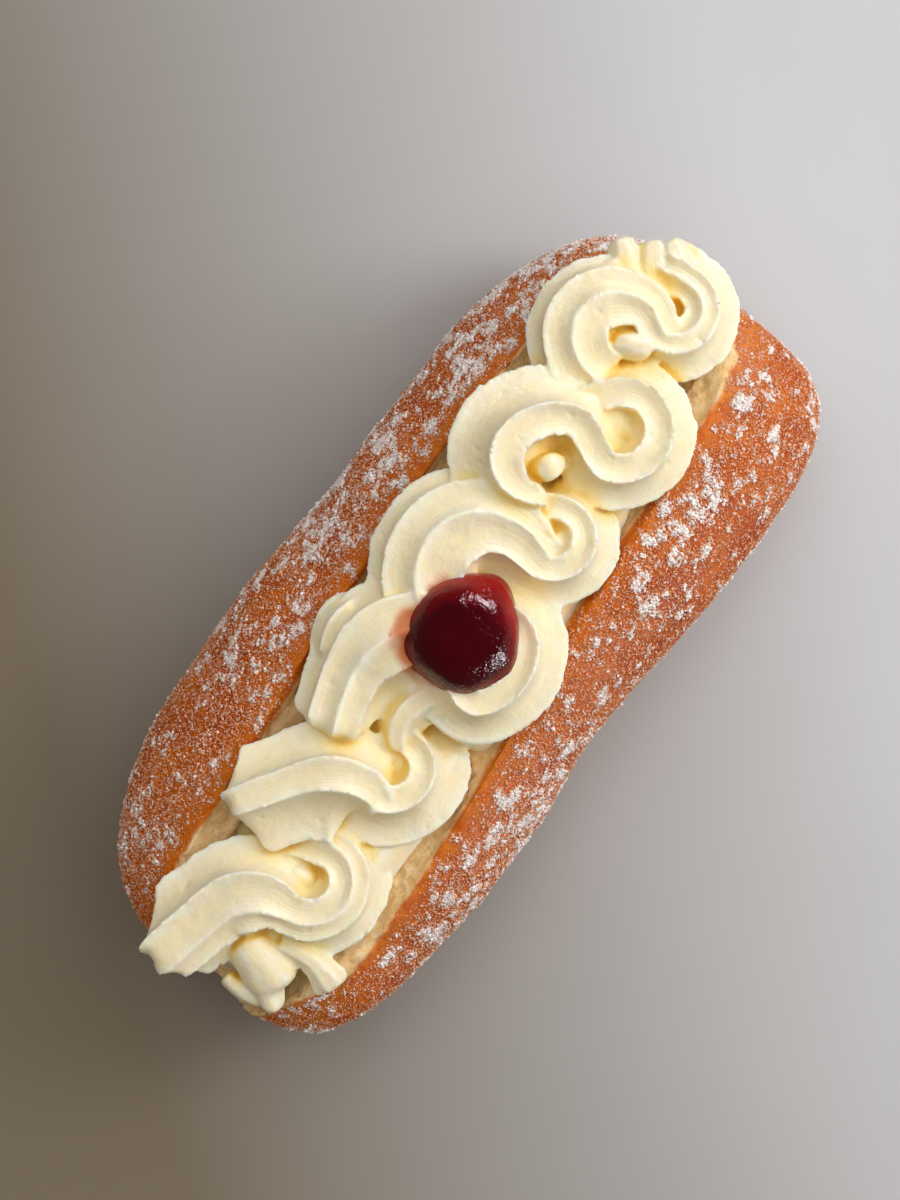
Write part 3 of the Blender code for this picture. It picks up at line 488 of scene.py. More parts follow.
def slit_section(x, grow, top, detail):
    """V with a rounded floor, a shelf of crumb below the lip and a mouth that flares out."""
    plus, minus = lips(x)
    middle = (plus + minus) / 2.0
    foot, knee = SLIT_FLOOR_Z + WALL_FOOT, LIP_Z - SHELF_DROP
    ring = []
    for side, lip in ((1.0, plus), (-1.0, minus)):
        half = abs(lip - middle) - grow
        run = []
        for t in np.linspace(0.0, 1.0, 1 + 2 * detail):
            run.append((SLIT_FLOOR_HALF * t, SLIT_FLOOR_Z + grow + WALL_FOOT * t * t))
        for t in np.linspace(0.0, 1.0, 1 + 3 * detail)[1:]:
            y = SLIT_FLOOR_HALF + (half - SHELF_WIDTH - SLIT_FLOOR_HALF) * t**WALL_CURVE
            run.append((y, foot + grow + (knee - foot) * t))
        for t in np.linspace(0.0, 1.0, 1 + detail)[1:]:
            run.append((half - SHELF_WIDTH * (1.0 - t), knee + grow + SHELF_DROP * t))
        for t in np.linspace(0.0, 1.0, 1 + 4 * detail)[1:]:
            turn = t * LIP_TURN
            y = half + LIP_ROUND * (1.0 - math.cos(turn))
            run.append((y, LIP_Z + grow + LIP_ROUND * LIP_RISE * math.sin(turn)))
        mouth = half + LIP_ROUND * MOUTH_REACH
        run.append((mouth, LIP_Z + grow + LIP_ROUND * MOUTH_RISE))
        run.append((mouth, top))
        points = [(x, middle + side * y, z) for y, z in run]
        ring += points if side > 0 else list(reversed(points[1:]))
    return ring


def slit_cutter():
    reach, top = HALF_LENGTH + SLIT_OVERRUN, TOP_Z + SLIT_ABOVE
    stations = np.linspace(-reach, reach, SLIT_STATIONS)
    rings = [slit_section(float(x), 0.0, top, SLIT_DETAIL) for x in stations]
    verts = [p for ring in rings for p in ring]
    return mesh_object("slit_tool", verts, loft_faces(len(rings), len(rings[0])))


def slit_place(points):
    """How far each point lies outside the lip (negative inside), and how near it is to the wall."""
    plus, minus = lips(points[:, 0])
    middle = (plus + minus) / 2.0
    half = np.where(points[:, 1] > middle, plus - middle, middle - minus)
    off = np.abs(points[:, 1] - middle)
    part = (off - SLIT_FLOOR_HALF) / (half - SHELF_WIDTH - SLIT_FLOOR_HALF)
    t = np.clip(part, 0.0, 1.0) ** WALL_CURVE_BACK
    wall = SLIT_FLOOR_Z + WALL_FOOT * np.clip(off / SLIT_FLOOR_HALF, 0, 1) ** 2
    wall = wall + (LIP_Z - SHELF_DROP - SLIT_FLOOR_Z - WALL_FOOT) * t
    wall = wall + SHELF_DROP * np.clip((off - half + SHELF_WIDTH) / SHELF_WIDTH, 0.0, 1.0)
    return off - half, points[:, 2] - wall


def slit_distance(points):
    """How far each point lies outside the lip; the ends and the under side count as far."""
    beyond, above = slit_place(points)
    return np.where(above < SLIT_WALL, FAR, beyond)


def make_bun():
    """The slit roll, with a dented crust and porous crumb where the slit opened it."""
    bun = roll_body()
    cutter = slit_cutter()
    apply_modifier(bun, "BOOLEAN", object=cutter, operation="DIFFERENCE", solver="MANIFOLD")
    bpy.data.objects.remove(cutter, do_unlink=True)
    apply_modifier(bun, "REMESH", mode="VOXEL", voxel_size=CRUST_VOXEL * MM, adaptivity=0.0)
    keep_largest(bun)
    points, out = coordinates(bun), normals(bun)
    beyond, above = slit_place(points)
    ragged = RAGGED_HEIGHT * fractal(points, RAGGED_SIZE, 3, 5, 0.7)
    near = 1.0 - ease((beyond - CRUMB_EDGE + ragged) / CRUMB_FADE)
    inside = 1.0 - ease((beyond - INNER_EDGE) / INNER_FADE)
    inside = inside * (above > -CRUMB_DEPTH) * (out[:, 2] > CRUMB_FACING)
    crumb = np.maximum(near * (np.abs(above) < CRUMB_DEPTH), inside)
    crumb = spread(crumb, edges_of(bun), 1)
    push = DENT_HEIGHT * noise3(points, DENT_SIZE, 2)
    push = push + LUMP_HEIGHT * fractal(points, LUMP_SIZE, 3, 3)
    wrinkle = np.maximum(fractal(points, WRINKLE_SIZE, 2, 9), 0.0) * WRINKLE_DEPTH
    pores = -np.maximum(fractal(points, PORE_SIZE, 3, 21) - PORE_FLOOR, 0.0) * PORE_DEPTH
    push = (push - wrinkle) * (1.0 - crumb) + crumb * (CRUMB_RELIEF * push + pores)
    points = held_inside(points + out * (push - CRUST_INSET * (1.0 - crumb))[:, None])
    move_to(bun, points)
    give(bun, "crumb", crumb)
    give(bun, "beyond", beyond)
    give(bun, "cover", sugar_cover(points, slit_distance(points)) * (1.0 - crumb))
    return bun


# ---- cream ----
def spline(points, step):
    """A smooth line past the control points, cut into even steps."""
    points = np.asarray(points, float)
    padded = np.vstack([2 * points[0] - points[1], points, 2 * points[-1] - points[-2]])
    t = np.linspace(0.0, 1.0, SPLINE_STEPS, endpoint=False)[:, None]
    found = []
    for i in range(len(points) - 1):
        p0, p1, p2, p3 = padded[i : i + 4]
        near = p0 * (1 - t) ** 3 + p1 * (3 * t**3 - 6 * t**2 + 4)
        far = p2 * (-3 * t**3 + 3 * t**2 + 3 * t + 1) + p3 * t**3
        found.append((near + far) / 6.0)
    found = np.vstack(found)
    along = np.r_[0.0, np.cumsum(np.linalg.norm(np.diff(found[:, :3], axis=0), axis=1))]
    even = np.linspace(0.0, along[-1], max(int(along[-1] / step), 4))
    return np.column_stack([np.interp(even, along, found[:, k]) for k in range(found.shape[1])])


def swirl_path(bend, radii, turn, widths, heights, exit_run):
    """Control points of a swirl, round its bend and then its turn: x, y, z and half width."""
    cx, cy, run_in, a0, a1, stretch = bend
    r_start, r_crest, r_end = radii
    hx, hy, r_turn, b0, b1 = turn
    w_start, w_crest, w_turn = widths
    z_start, z_crest, z_turn, z_end = heights

    def on_circle(x, y, radius, angle):
        return x + stretch * radius * math.cos(angle), y + radius * math.sin(angle)

    points = []
    if run_in:
        angle = math.radians(a0)
        x, y = on_circle(cx, cy, r_start, angle)
        back_x, back_y = -stretch * math.sin(angle), math.cos(angle)
        run = run_in / math.hypot(back_x, back_y)
        points.append((x + run * back_x, y + run * back_y, z_start, w_start))
    steps = max(int(abs(a1 - a0) / BEND_STEP), 3)
    for i in range(steps + 1):
        t = i / steps
        angle = math.radians(a0 + (a1 - a0) * t)
        rise, fall = float(ease(2.0 * t)), float(ease(2.0 * t - 1.0))
        radius = r_start + (r_crest - r_start) * rise + (r_end - r_crest) * fall
        w = w_start + (w_crest - w_start) * rise
        w += (w_turn - w) * fall * WIDTH_HANDOVER
        z = z_start + (z_crest - z_start) * rise
        z += (z_turn - z) * fall * WIDTH_HANDOVER
        points.append((*on_circle(cx, cy, radius, angle), z, w))
    steps = max(int(abs(b1 - b0) / TURN_STEP), 3)
    for i in range(steps + 1):
        t = i / steps
        angle = math.radians(b0 + (b1 - b0) * t)
        z = z_turn + (z_end - z_turn) * float(ease(t * SINK_RATE - SINK_START))
        points.append((*on_circle(hx, hy, r_turn, angle), z, w_turn))
    angle = math.radians(b1 + 90)
    x, y, z, w = points[-1]
    for t in (0.5, 1.0):
        run = exit_run * t
        points.append((x + run * math.cos(angle), y + run * math.sin(angle), z - EXIT_FALL * t, w))
    return points


def section_table(ridges, scoop):
    """Section of half width and half height 1: its points, and how deep in a band each lies."""
    angles = [math.acos(e) for e in ridges] + [math.pi * a for a in UNDER_RIDGES]
    crests = [(math.cos(a), math.copysign(abs(math.sin(a)) ** SQUARE, math.sin(a))) for a in angles]
    crests = [(y, max(z, EDGE_RISE) if k < len(ridges) else z) for k, (y, z) in enumerate(crests)]
    crests.append(crests[0])
    points, depth = [], []
    for k in range(len(crests) - 1):
        a, b = np.array(crests[k]), np.array(crests[k + 1])
        top = k < len(ridges) - 1
        count = BAND_POINTS if top else UNDER_POINTS
        t = np.arange(count) / count
        sag = (scoop if top else min(scoop, UNDER_SCOOP)) * 4.0 * t * (1.0 - t)
        inward = np.array([a[1] - b[1], b[0] - a[0]])
        points.append(a + (b - a) * t[:, None] + inward * sag[:, None])
        depth.append(4.0 * t * (1.0 - t))
    return np.vstack(points), np.concatenate(depth)


def rope(control, index, ridges, turn_ridges, scoop, half_height, ends, cuts, tips):
    """Sweep the ridged section along a path.

    Gives vertices, faces, and each vertex's place: how far along and round, how deep in a band.
    The odd factors keep the noise of the bands and ropes apart.
    """
    path = spline(control, ROPE_STEP)
    centre, width = path[:, :3], path[:, 3]
    ahead = np.gradient(centre, axis=0)
    ahead /= np.linalg.norm(ahead, axis=1)[:, None]
    side = np.cross(ahead, (0.0, 0.0, 1.0))
    side /= np.linalg.norm(side, axis=1)[:, None]
    up = np.cross(side, ahead)
    along = np.r_[0.0, np.cumsum(np.linalg.norm(np.diff(centre, axis=0), axis=1))]
    beat = np.column_stack([along, along * 0, along * 0 + index * 31.0])
    pulse = 1.0 + PULSE * noise3(beat, PULSE_LENGTH, 41)
    first, depth = section_table(ridges, scoop)
    last, _ = section_table(turn_ridges, scoop)
    around = len(first)
    part = np.arange(around) / around
    band = np.floor(np.arange(around) / BAND_POINTS + 0.5)
    ragged = TIP_MEAN + TIP_SPREAD * np.sin(band * 2.9 + index * 1.7)
    held = np.interp(-first[:, 0], [-e for e in ridges], cuts) if cuts else 0.0
    verts, places = [], []
    for i in range(len(path)):
        left = along[-1] - along[i]
        near = min(along[i] / ends[0], left / ends[1], 1.0)
        scale = max((1.0 - (1.0 - near) ** 3) ** (1.0 / 3.0) if near > 0 else 0.0, SMALLEST_END)
        mix = float(ease((along[i] / along[-1] - MORPH_FROM) / MORPH_OVER))
        ring = first + (last - first) * mix
        so_far = np.full(around, along[i])
        spots = np.column_stack([so_far, band * 13.7, np.full(around, index * 7.3)])
        ring = ring * (1.0 + WAVER * noise3(spots, WAVER_LENGTH, 7) * (1.0 - depth))[:, None]
        w, h = width[i] * scale * pulse[i], half_height * scale * pulse[i]
        reach = tips[1] * math.exp(-left / TIP_FADE) - tips[0] * math.exp(-along[i] / TIP_FADE)
        shift = reach * ragged * (1.0 - depth) ** TIP_POINTED * scale
        shift = shift + held * max(1.0 - along[i] / CUT_REACH, 0.0) ** 2
        flat = (ring[:, :1] * w) * side[i] + (ring[:, 1:] * h) * up[i]
        verts.append(centre[i] + flat + shift[:, None] * ahead[i])
        places.append(np.column_stack([so_far, part, depth]))
    return np.vstack(verts), loft_faces(len(path), around), np.vstack(places)


def cream_core():
    """The cream that fills the slit; same three results as a rope's."""
    rings = []
    for x in np.linspace(-CREAM_CORE_END, CREAM_CORE_END, SLIT_STATIONS):
        plus, minus = lips(float(x))
        low, high = minus - CREAM_CORE_SIDE, plus + CREAM_CORE_SIDE
        top = CREAM_CORE_TOP_Z - CREAM_CORE_DIP * abs(x / CREAM_CORE_END) ** CREAM_CORE_DIP_POWER
        ring = []
        for px, py, pz in slit_section(float(x), CREAM_CORE_GROW, TOP_Z, CORE_DETAIL):
            off = min(abs(py - (plus + minus) / 2.0), CREAM_CORE_SHOULDER)
            ring.append((px, min(max(py, low), high), min(pz, top - CREAM_CORE_CROWN * off**2)))
        rings.append(ring)
    verts = np.array([p for ring in rings for p in ring])
    valley = np.full(len(verts), CREAM_CORE_VALLEY)
    places = np.column_stack([verts[:, 0], verts[:, 1] * CREAM_CORE_ROUND, valley])
    return verts, loft_faces(len(rings), len(rings[0])), places


def nearest_places(points, verts, faces, places):
    """For each point, the place of the nearest corner on the nearest face of the ropes."""
    source = BVHTree.FromPolygons([tuple(v) for v in verts], faces)
    found = np.empty((len(points), 3))
    for i, point in enumerate(points):
        spot, _, face, _ = source.find_nearest(point)
        corners = list(faces[face])
        off = ((verts[corners] - np.array(spot)) ** 2).sum(axis=1)
        found[i] = places[corners[off.argmin()]]
    return found


def make_cream():
    """Swirls, folds and core melted into one skin, then roughened."""
    ropes = []
    for i, (*shape, ridges, turn_ridges, cuts, (exit_run, *tips)) in enumerate(SWIRLS):
        path, size = swirl_path(*shape, exit_run), (SCOOP, ROPE_HALF_HEIGHT, SWIRL_ENDS)
        ropes.append(rope(path, i, ridges, turn_ridges, *size, cuts, tips))
    for i, (*spots, half_widths, half_height, scoop) in enumerate(FOLDS):
        path = [(*spot, w) for spot, w in zip(spots, half_widths)]
        size = scoop, half_height, (half_widths[0], half_widths[2])
        ropes.append(rope(path, 10 + i, FOLD_RIDGES, FOLD_RIDGES, *size, (), (0, 0)))
    ropes.append(cream_core())
    faces, count = [], 0
    for verts, its_faces, _ in ropes:
        faces += [tuple(count + k for k in face) for face in its_faces]
        count += len(verts)
    verts, places = np.vstack([r[0] for r in ropes]), np.vstack([r[2] for r in ropes])
    cream = mesh_object("cream_piped", verts, faces)
    apply_modifier(cream, "REMESH", mode="VOXEL", voxel_size=CREAM_VOXEL * MM, adaptivity=0.0)
    keep_largest(cream)
    points, out = coordinates(cream), normals(cream)
    along, around, depth = nearest_places(points, verts, faces, places).T
    valley = spread(depth, edges_of(cream), 1)
    torn = ease((points[:, 0] - TORN_FROM) / TORN_OVER) * (1.0 - TORN_LEAST) + TORN_LEAST
    crest = np.clip(1.0 - CREST_WIDTH * valley, 0.0, 1.0)
    rough = fractal(points, TORN_SIZE, 3, 61) * TORN_HEIGHT * crest * torn
    rough += fractal(points, RIPPLE_SIZE, 2, 67) * RIPPLE_HEIGHT
    rough += fractal(points, SWELL_SIZE, 2, 71) * SWELL_HEIGHT
    pit = np.maximum(noise3(points, PIT_SIZE, 77) - PIT_FLOOR, 0.0) * PIT_DEPTH
    move_to(cream, held_inside(points + out * (rough - pit)[:, None]))
    give(cream, "along", along)
    give(cream, "round", around)
    give(cream, "valley", valley)
    return cream


def shade_creases(cream):
    """Stores how closed in each vertex is, from 0 in the open to 1 deep in a crease; the cream's
    material paints shade into the creases from it.
    """
    tree = tree_of(cream)
    points, out = coordinates(cream), normals(cream)
    rng = np.random.default_rng(CLOSED_SEED)
    aims = rng.normal(size=(CLOSED_RAYS, 3))
    aims /= np.linalg.norm(aims, axis=1)[:, None]
    closed = np.zeros(len(points))
    starts = points + out * CLOSED_START
    for aim in aims:
        facing = aim + out * CLOSED_LEAN
        facing /= np.linalg.norm(facing, axis=1)[:, None]
        for i in range(len(points)):
            hit = tree.ray_cast(starts[i], facing[i], CLOSED_REACH)
            if hit[3] is not None:
                closed[i] += 1.0 - hit[3] / CLOSED_REACH
    give(cream, "closed", spread(closed / CLOSED_RAYS, edges_of(cream), 2))


def stain_cream(cream):
    """Stores where the jam's juice has run into the cream, most towards +Y and -X."""
    spots = coordinates(cream)
    x, y = (spots[:, 0] - JAM_X) / JAM_HALF_X, (spots[:, 1] - JAM_Y) / JAM_HALF_Y
    gap = np.hypot(x, y) - 1.0 + STAIN_RAGGED * fractal(spots, STAIN_SIZE, 2, 91)
    gap = gap + STAIN_BACK - STAIN_LEAN * (y - STAIN_SKEW * x)
    give(cream, "stain", STAIN_DEPTH * (1.0 - ease(gap / STAIN_WIDTH)))


# ---- jam ----
def make_jam():
    """A dented dome; stores how lit its rim is, for the painted light on it, and how steep its
    shaded side.
    """
    verts = [(JAM_X, JAM_Y, JAM_Z - JAM_HALF_Z * JAM_UNDER)]
    for i in range(1, JAM_RINGS):
        up = -math.pi / 2.0 + math.pi * i / JAM_RINGS
        for j in range(JAM_AROUND):
            angle = 2.0 * math.pi * j / JAM_AROUND
            wave = 1.0 + sum(high * math.sin(n * angle + start) for high, n, start in JAM_WAVES)
            tall = JAM_HALF_Z if up > 0 else JAM_HALF_Z * JAM_UNDER
            ring = math.cos(up) ** JAM_SQUARE
            x = JAM_X + JAM_HALF_X * wave * ring * math.cos(angle)
            y = JAM_Y + JAM_HALF_Y * wave * ring * math.sin(angle)
            verts.append((x, y, JAM_Z + tall * math.sin(up)))
    verts.append((JAM_X, JAM_Y, JAM_Z + JAM_HALF_Z))
    faces = []
    last = 1 + (JAM_RINGS - 2) * JAM_AROUND
    for j in range(JAM_AROUND):
        k = (j + 1) % JAM_AROUND
        faces.append((0, 1 + k, 1 + j))
        for i in range(JAM_RINGS - 2):
            a, b = 1 + i * JAM_AROUND, 1 + (i + 1) * JAM_AROUND
            faces.append((a + j, a + k, b + k, b + j))
        faces.append((last + j, last + k, len(verts) - 1))
    jam = mesh_object("jam_dollop", verts, faces)
    points, out = coordinates(jam), normals(jam)
    push = sum(high * noise3(points, size, seed) for high, size, seed in JAM_DENTS)
    points = points + out * push[:, None]
    points[:, 2] = np.minimum(points[:, 2], JAM_Z + JAM_HALF_Z)
    move_to(jam, points)
    x, y = (points[:, 0] - JAM_X) / JAM_HALF_X, (points[:, 1] - JAM_Y) / JAM_HALF_Y
    lit = np.maximum(x + LIT_LEAN * y - LIT_FROM, 0.0)
    give(jam, "edge", RIM * (1.0 - out[:, 2]) + LIT_RIM * lit)
    shaded = np.clip(SHADED_FROM - out[:, 0] + SHADED_LEAN * out[:, 1], 0.0, 1.0)
    give(jam, "steep", (1.0 - out[:, 2]) * shaded)
    return jam


# ---- sugar ----
def grain_mesh(name, form, form_faces, places, sizes, thick, rng):
    """One mesh of small tilted crystals, each a box or a shard with its corners a little off."""
    count, corners = len(places), len(form)
    q = rng.normal(size=(count, 4))
    q /= np.linalg.norm(q, axis=1)[:, None]
    w, x, y, z = q.T
    turn = np.array([
        [1 - 2 * (y * y + z * z), 2 * (x * y - z * w), 2 * (x * z + y * w)],
        [2 * (x * y + z * w), 1 - 2 * (x * x + z * z), 2 * (y * z - x * w)],
        [2 * (x * z - y * w), 2 * (y * z + x * w), 1 - 2 * (x * x + y * y)],
    ]).transpose(2, 0, 1)
    shape = form[None] * sizes[:, None, None] / 2.0
    shape = shape * rng.uniform(*GRAIN_STRETCH, (count, 1, 3))
    shape = shape + rng.normal(size=(count, corners, 3)) * sizes[:, None, None] * GRAIN_CORNER
    spots = np.einsum("nij,nkj->nki", turn, shape) + places[:, None]
    spots = held_inside(spots.reshape(-1, 3))
    co = ((spots - CENTRE) * MM).astype(np.float32)
    loops = form_faces[None] + corners * np.arange(count)[:, None, None]
    loops = loops.reshape(-1).astype(np.int32)
    starts = np.arange(0, len(loops), form_faces.shape[1], dtype=np.int32)
    mesh = bpy.data.meshes.new(name)
    mesh.vertices.add(len(co))
    mesh.vertices.foreach_set("co", co.ravel())
    mesh.loops.add(len(loops))
    mesh.loops.foreach_set("vertex_index", loops)
    mesh.polygons.add(len(form_faces) * count)
    mesh.polygons.foreach_set("loop_start", starts)
    mesh.update(calc_edges=True)
    mesh.validate()
    made = placed(name, mesh)
    give(made, "thick", np.repeat(thick + WHITER * rng.random(count) ** 2, corners))
    return made


def sugar_cover(points, beyond):
    """How thickly sugar lies at each place on the crust, 0 to 1."""
    plus_side = points[:, 1] > 0
    clumps = fractal(points, CLUMP_SIZE, 4, 101, 0.8)
    patches = PATCH_COVER * noise3(points, PATCH_SIZE, 113)
    lean = np.where(plus_side, LEAN_PLUS * points[:, 0], LEAN_MINUS)
    cover = np.where(plus_side, THIN_PLUS, THIN_MINUS) + patches
    cover = cover + CLUMP_COVER * ease((clumps + patches + lean - CLUMP_LEVEL) / CLUMP_EDGE)
    cover = cover * ease((beyond - LIP_BARE + LIP_RAGGED * clumps) / LIP_FADE)
    return cover * ease((points[:, 2] - BARE_Z) / BARE_FADE)


def scattered(bun, count, power, rng):
    """Random places on the crust, more where sugar lies thick, with their outward way and cover."""
    bun.data.calc_loop_triangles()
    tris = rows_of(bun.data.loop_triangles, "vertices", 3, np.int64)
    points, out = coordinates(bun), normals(bun)
    a, b, c = points[tris[:, 0]], points[tris[:, 1]], points[tris[:, 2]]
    area = np.linalg.norm(np.cross(b - a, c - a), axis=1) / 2.0
    shown = sugar_cover(points, slit_distance(points))
    area = area * (SIDE_SUGAR + (1.0 - SIDE_SUGAR) * np.maximum(out[tris[:, 0], 2], 0.0))
    weight = area * (points[tris[:, 0], 2] > BARE_Z) * shown[tris].mean(axis=1) ** power
    pick = rng.choice(len(tris), count, p=weight / weight.sum())
    u, v = rng.random((2, count))
    flip = u + v > 1.0
    u[flip], v[flip] = 1.0 - u[flip], 1.0 - v[flip]
    places = a[pick] + (b - a)[pick] * u[:, None] + (c - a)[pick] * v[:, None]
    return places, out[tris[pick, 0]], shown[tris[pick, 0]]


def make_sugar(bun):
    """Large crystals as boxes, and many more small ones as shards."""
    rng = np.random.default_rng(GRAIN_SEED)
    made = []
    for form, form_faces, count, pieces, small, large, power in GRAIN_KINDS:
        places, out, cover = scattered(bun, count, power, rng)
        sizes = small + (large - small) * rng.random(count) ** 2
        heap = HEAP * rng.random(count) * cover
        places = places + out * (sizes * GRAIN_RISE + heap)[:, None]
        for part in np.array_split(np.arange(count), pieces):
            name = f"sugar_crystals_{len(made) + 1}"
            grains = places[part], sizes[part], cover[part]
            made.append(grain_mesh(name, form, form_faces, *grains, rng))
    return made


# ---- materials ----
# A ramp turns a span of values, its first two numbers, into another, 0 to 1 unless it says more.
# Noise scales count waves in a metre, and bump distances are millimetres.
def colour(shown):
    """A display colour, 0 to 255, as the linear value a shader takes."""
    parts = [v / 255.0 for v in shown]
    parts = [v / 12.92 if v <= 0.04045 else ((v + 0.055) / 1.055) ** 2.4 for v in parts]
    return (*parts, 1.0)


class Nodes:
    """A short way to write a node tree."""

    def __init__(self, name):
        self.material = bpy.data.materials.new(name)
        self.material.use_nodes = True
        self.tree = self.material.node_tree
        self.shader = self.tree.nodes["Principled BSDF"]
        self.place = self.tree.nodes.new("ShaderNodeTexCoord").outputs["Object"]

    def add(self, kind, inputs=None, **settings):
        node = self.tree.nodes.new(kind)
        for key, value in settings.items():
            setattr(node, key, value)
        for key, value in (inputs or {}).items():
            self.feed(node.inputs[key], value)
        return node

    def feed(self, socket, value):
        if isinstance(value, bpy.types.NodeSocket):
            self.tree.links.new(value, socket)
        else:
            socket.default_value = value

    def attribute(self, name):
        return self.add("ShaderNodeAttribute", attribute_name=name).outputs["Fac"]

    def axis(self, name):
        return self.add("ShaderNodeSeparateXYZ", {"Vector": self.place}).outputs[name]

    def noise(self, scale, detail=2.0, rough=0.5, vector=None):
        inputs = {"Scale": scale, "Detail": detail, "Roughness": rough}
        inputs["Vector"] = vector or self.place
        return self.add("ShaderNodeTexNoise", inputs).outputs["Fac"]

    def ramp(self, value, low, high, a=0.0, b=1.0):
        inputs = {"Value": value, "From Min": low, "From Max": high, "To Min": a, "To Max": b}
        return self.add("ShaderNodeMapRange", inputs, clamp=True).outputs["Result"]

    def mix(self, amount, a, b, blend="MIX"):
        node = self.add("ShaderNodeMix", data_type="RGBA", blend_type=blend)
        self.feed(node.inputs[0], amount)
        for key, value in ((6, a), (7, b)):
            self.feed(node.inputs[key], colour(value) if isinstance(value, tuple) else value)
        return node.outputs[2]

    def math(self, kind, a, b=0.0):
        node = self.add("ShaderNodeMath", operation=kind)
        self.feed(node.inputs[0], a)
        self.feed(node.inputs[1], b)
        return node.outputs[0]

    def times(self, a, b):
        return self.math("MULTIPLY", a, b)

    def bump(self, height, strength, distance, under=None):
        inputs = {"Height": height, "Strength": strength, "Distance": distance * MM}
        if under:
            inputs["Normal"] = under
        return self.add("ShaderNodeBump", inputs).outputs["Normal"]

    def set(self, **values):
        for key, value in values.items():
            self.feed(self.shader.inputs[key.replace("_", " ")], value)
        return self.material


def crust_material():
    n = Nodes("baked_crust")
    broad = n.noise(95.0, 3.0, 0.6)
    fine = n.noise(520.0, 3.0, 0.6)
    speck = n.noise(1700.0, 2.0, 0.6)
    baked = n.mix(n.ramp(broad, 0.35, 0.68), CRUST_BROWN, CRUST_GOLD)
    baked = n.mix(n.ramp(fine, 0.50, 0.70, 0.0, 0.7), baked, CRUST_PATCH)
    baked = n.mix(n.ramp(speck, 0.50, 0.66, 0.0, 0.6), baked, CRUST_SPECK)
    beyond = n.attribute("beyond")
    band = n.ramp(n.math("ADD", beyond, n.times(broad, 4.0)), 3.0, 9.0, 1.0, 0.0)
    toasted = n.mix(n.ramp(fine, 0.38, 0.62), BAND_BROWN, BAND_GOLD)
    baked = n.mix(n.times(band, 0.8), baked, toasted)
    height = n.math("ADD", n.axis("Z"), n.times(broad, 0.008))
    low = n.ramp(height, 0.016, 0.032, 1.0, 0.0)
    baked = n.mix(n.times(low, 0.6), baked, CRUST_FOOT)
    dust = n.ramp(n.attribute("cover"), 0.1, 0.9, 0.10, 0.45)
    dust = n.times(dust, n.ramp(speck, 0.56, 0.42))
    baked = n.mix(dust, baked, CRUST_DUST)
    pale = n.mix(n.ramp(fine, 0.35, 0.7), CRUMB_TAN, CRUMB_PALE)
    pale = n.mix(n.ramp(speck, 0.55, 0.7, 0.0, 0.5), pale, CRUMB_SPECK)
    crumb = n.attribute("crumb")
    whole = n.mix(crumb, baked, pale)
    relief = n.bump(fine, 0.5, 0.35)
    relief = n.bump(speck, 0.45, 0.18, relief)
    return n.set(Base_Color=whole, Roughness=n.ramp(crumb, 0.0, 1.0, 0.5, 0.9), Normal=relief,
                 Specular_IOR_Level=0.08, Subsurface_Weight=0.1,
                 Subsurface_Radius=(1.0, 0.5, 0.25), Subsurface_Scale=0.0012)


def cream_material():
    n = Nodes("whipped_cream")
    broad = n.noise(140.0, 2.0, 0.5)
    base = n.mix(n.ramp(broad, 0.35, 0.7), CREAM_PALE, CREAM_WARM)
    # Painted shade: the hollows of the bands are painted a duller, darker yellow, by how deep in a
    # band each place lies.
    base = n.mix(n.times(n.attribute("valley"), 0.7), base, CREAM_VALLEY_PAINTED_SHADE)
    lumpy = n.noise(420.0, 3.0, 0.6)
    base = n.mix(n.ramp(lumpy, 0.5, 0.7, 0.0, 0.4), base, CREAM_LUMP)
    # Painted shade: the more closed in a place is, the more its folds and creases are painted
    # yellow and then orange, in place of the shade and warm bounced light there.
    closed = n.attribute("closed")
    base = n.mix(n.ramp(closed, 0.10, 0.50, 0.0, 0.9), base, CREAM_FOLD_PAINTED_SHADE)
    base = n.mix(n.ramp(closed, 0.38, 0.72, 0.0, 0.85), base, CREAM_CREASE_PAINTED_SHADE)
    base = n.mix(n.attribute("stain"), base, JAM_STAIN)
    along, around = n.attribute("along"), n.attribute("round")
    along, around = n.times(along, 0.10), n.times(around, 44.0)
    stretch = n.add("ShaderNodeCombineXYZ", {"X": along, "Y": around})
    streak = n.noise(1.0, 3.0, 0.6, stretch.outputs[0])
    grainy = n.noise(1500.0, 2.0, 0.5)
    relief = n.bump(streak, 0.4, 0.5)
    relief = n.bump(lumpy, 0.55, 0.45, relief)
    relief = n.bump(grainy, 0.35, 0.12, relief)
    return n.set(Base_Color=base, Roughness=0.42, Normal=relief, Specular_IOR_Level=0.12,
                 Subsurface_Weight=1.0, Subsurface_Radius=(1.0, 0.72, 0.36),
                 Subsurface_Scale=0.0009)


def jam_material():
    n = Nodes("red_jam")
    clots = n.noise(230.0, 3.0, 0.55)
    # Painted light: the rim and the +X side get the brighter red, as if light shone through the
    # jam; the clots add uneven tone.
    edge = n.math("ADD", n.attribute("edge"), n.times(clots, 0.5))
    base = n.mix(n.ramp(edge, 0.55, 1.15), JAM_DARK, JAM_LIT)
    relief = n.bump(n.noise(420.0, 2.0, 0.5), 0.25, 0.5)
    relief = n.bump(n.noise(1500.0, 2.0, 0.6), 0.6, 0.28, relief)
    steep = n.ramp(n.attribute("steep"), 0.5, 0.9, 0.10, 0.7)
    return n.set(Base_Color=base, Roughness=steep, Normal=relief, IOR=1.25, Specular_IOR_Level=0.65)


def sugar_material():
    n = Nodes("sugar")
    uneven = n.times(n.noise(900.0, 1.0, 0.5), 0.5)
    uneven = n.math("ADD", n.attribute("thick"), uneven)
    base = n.mix(n.ramp(uneven, 0.50, 1.05), GRAIN_LONE, GRAIN_HEAPED)
    return n.set(Base_Color=base, Roughness=0.35, Specular_IOR_Level=0.4)


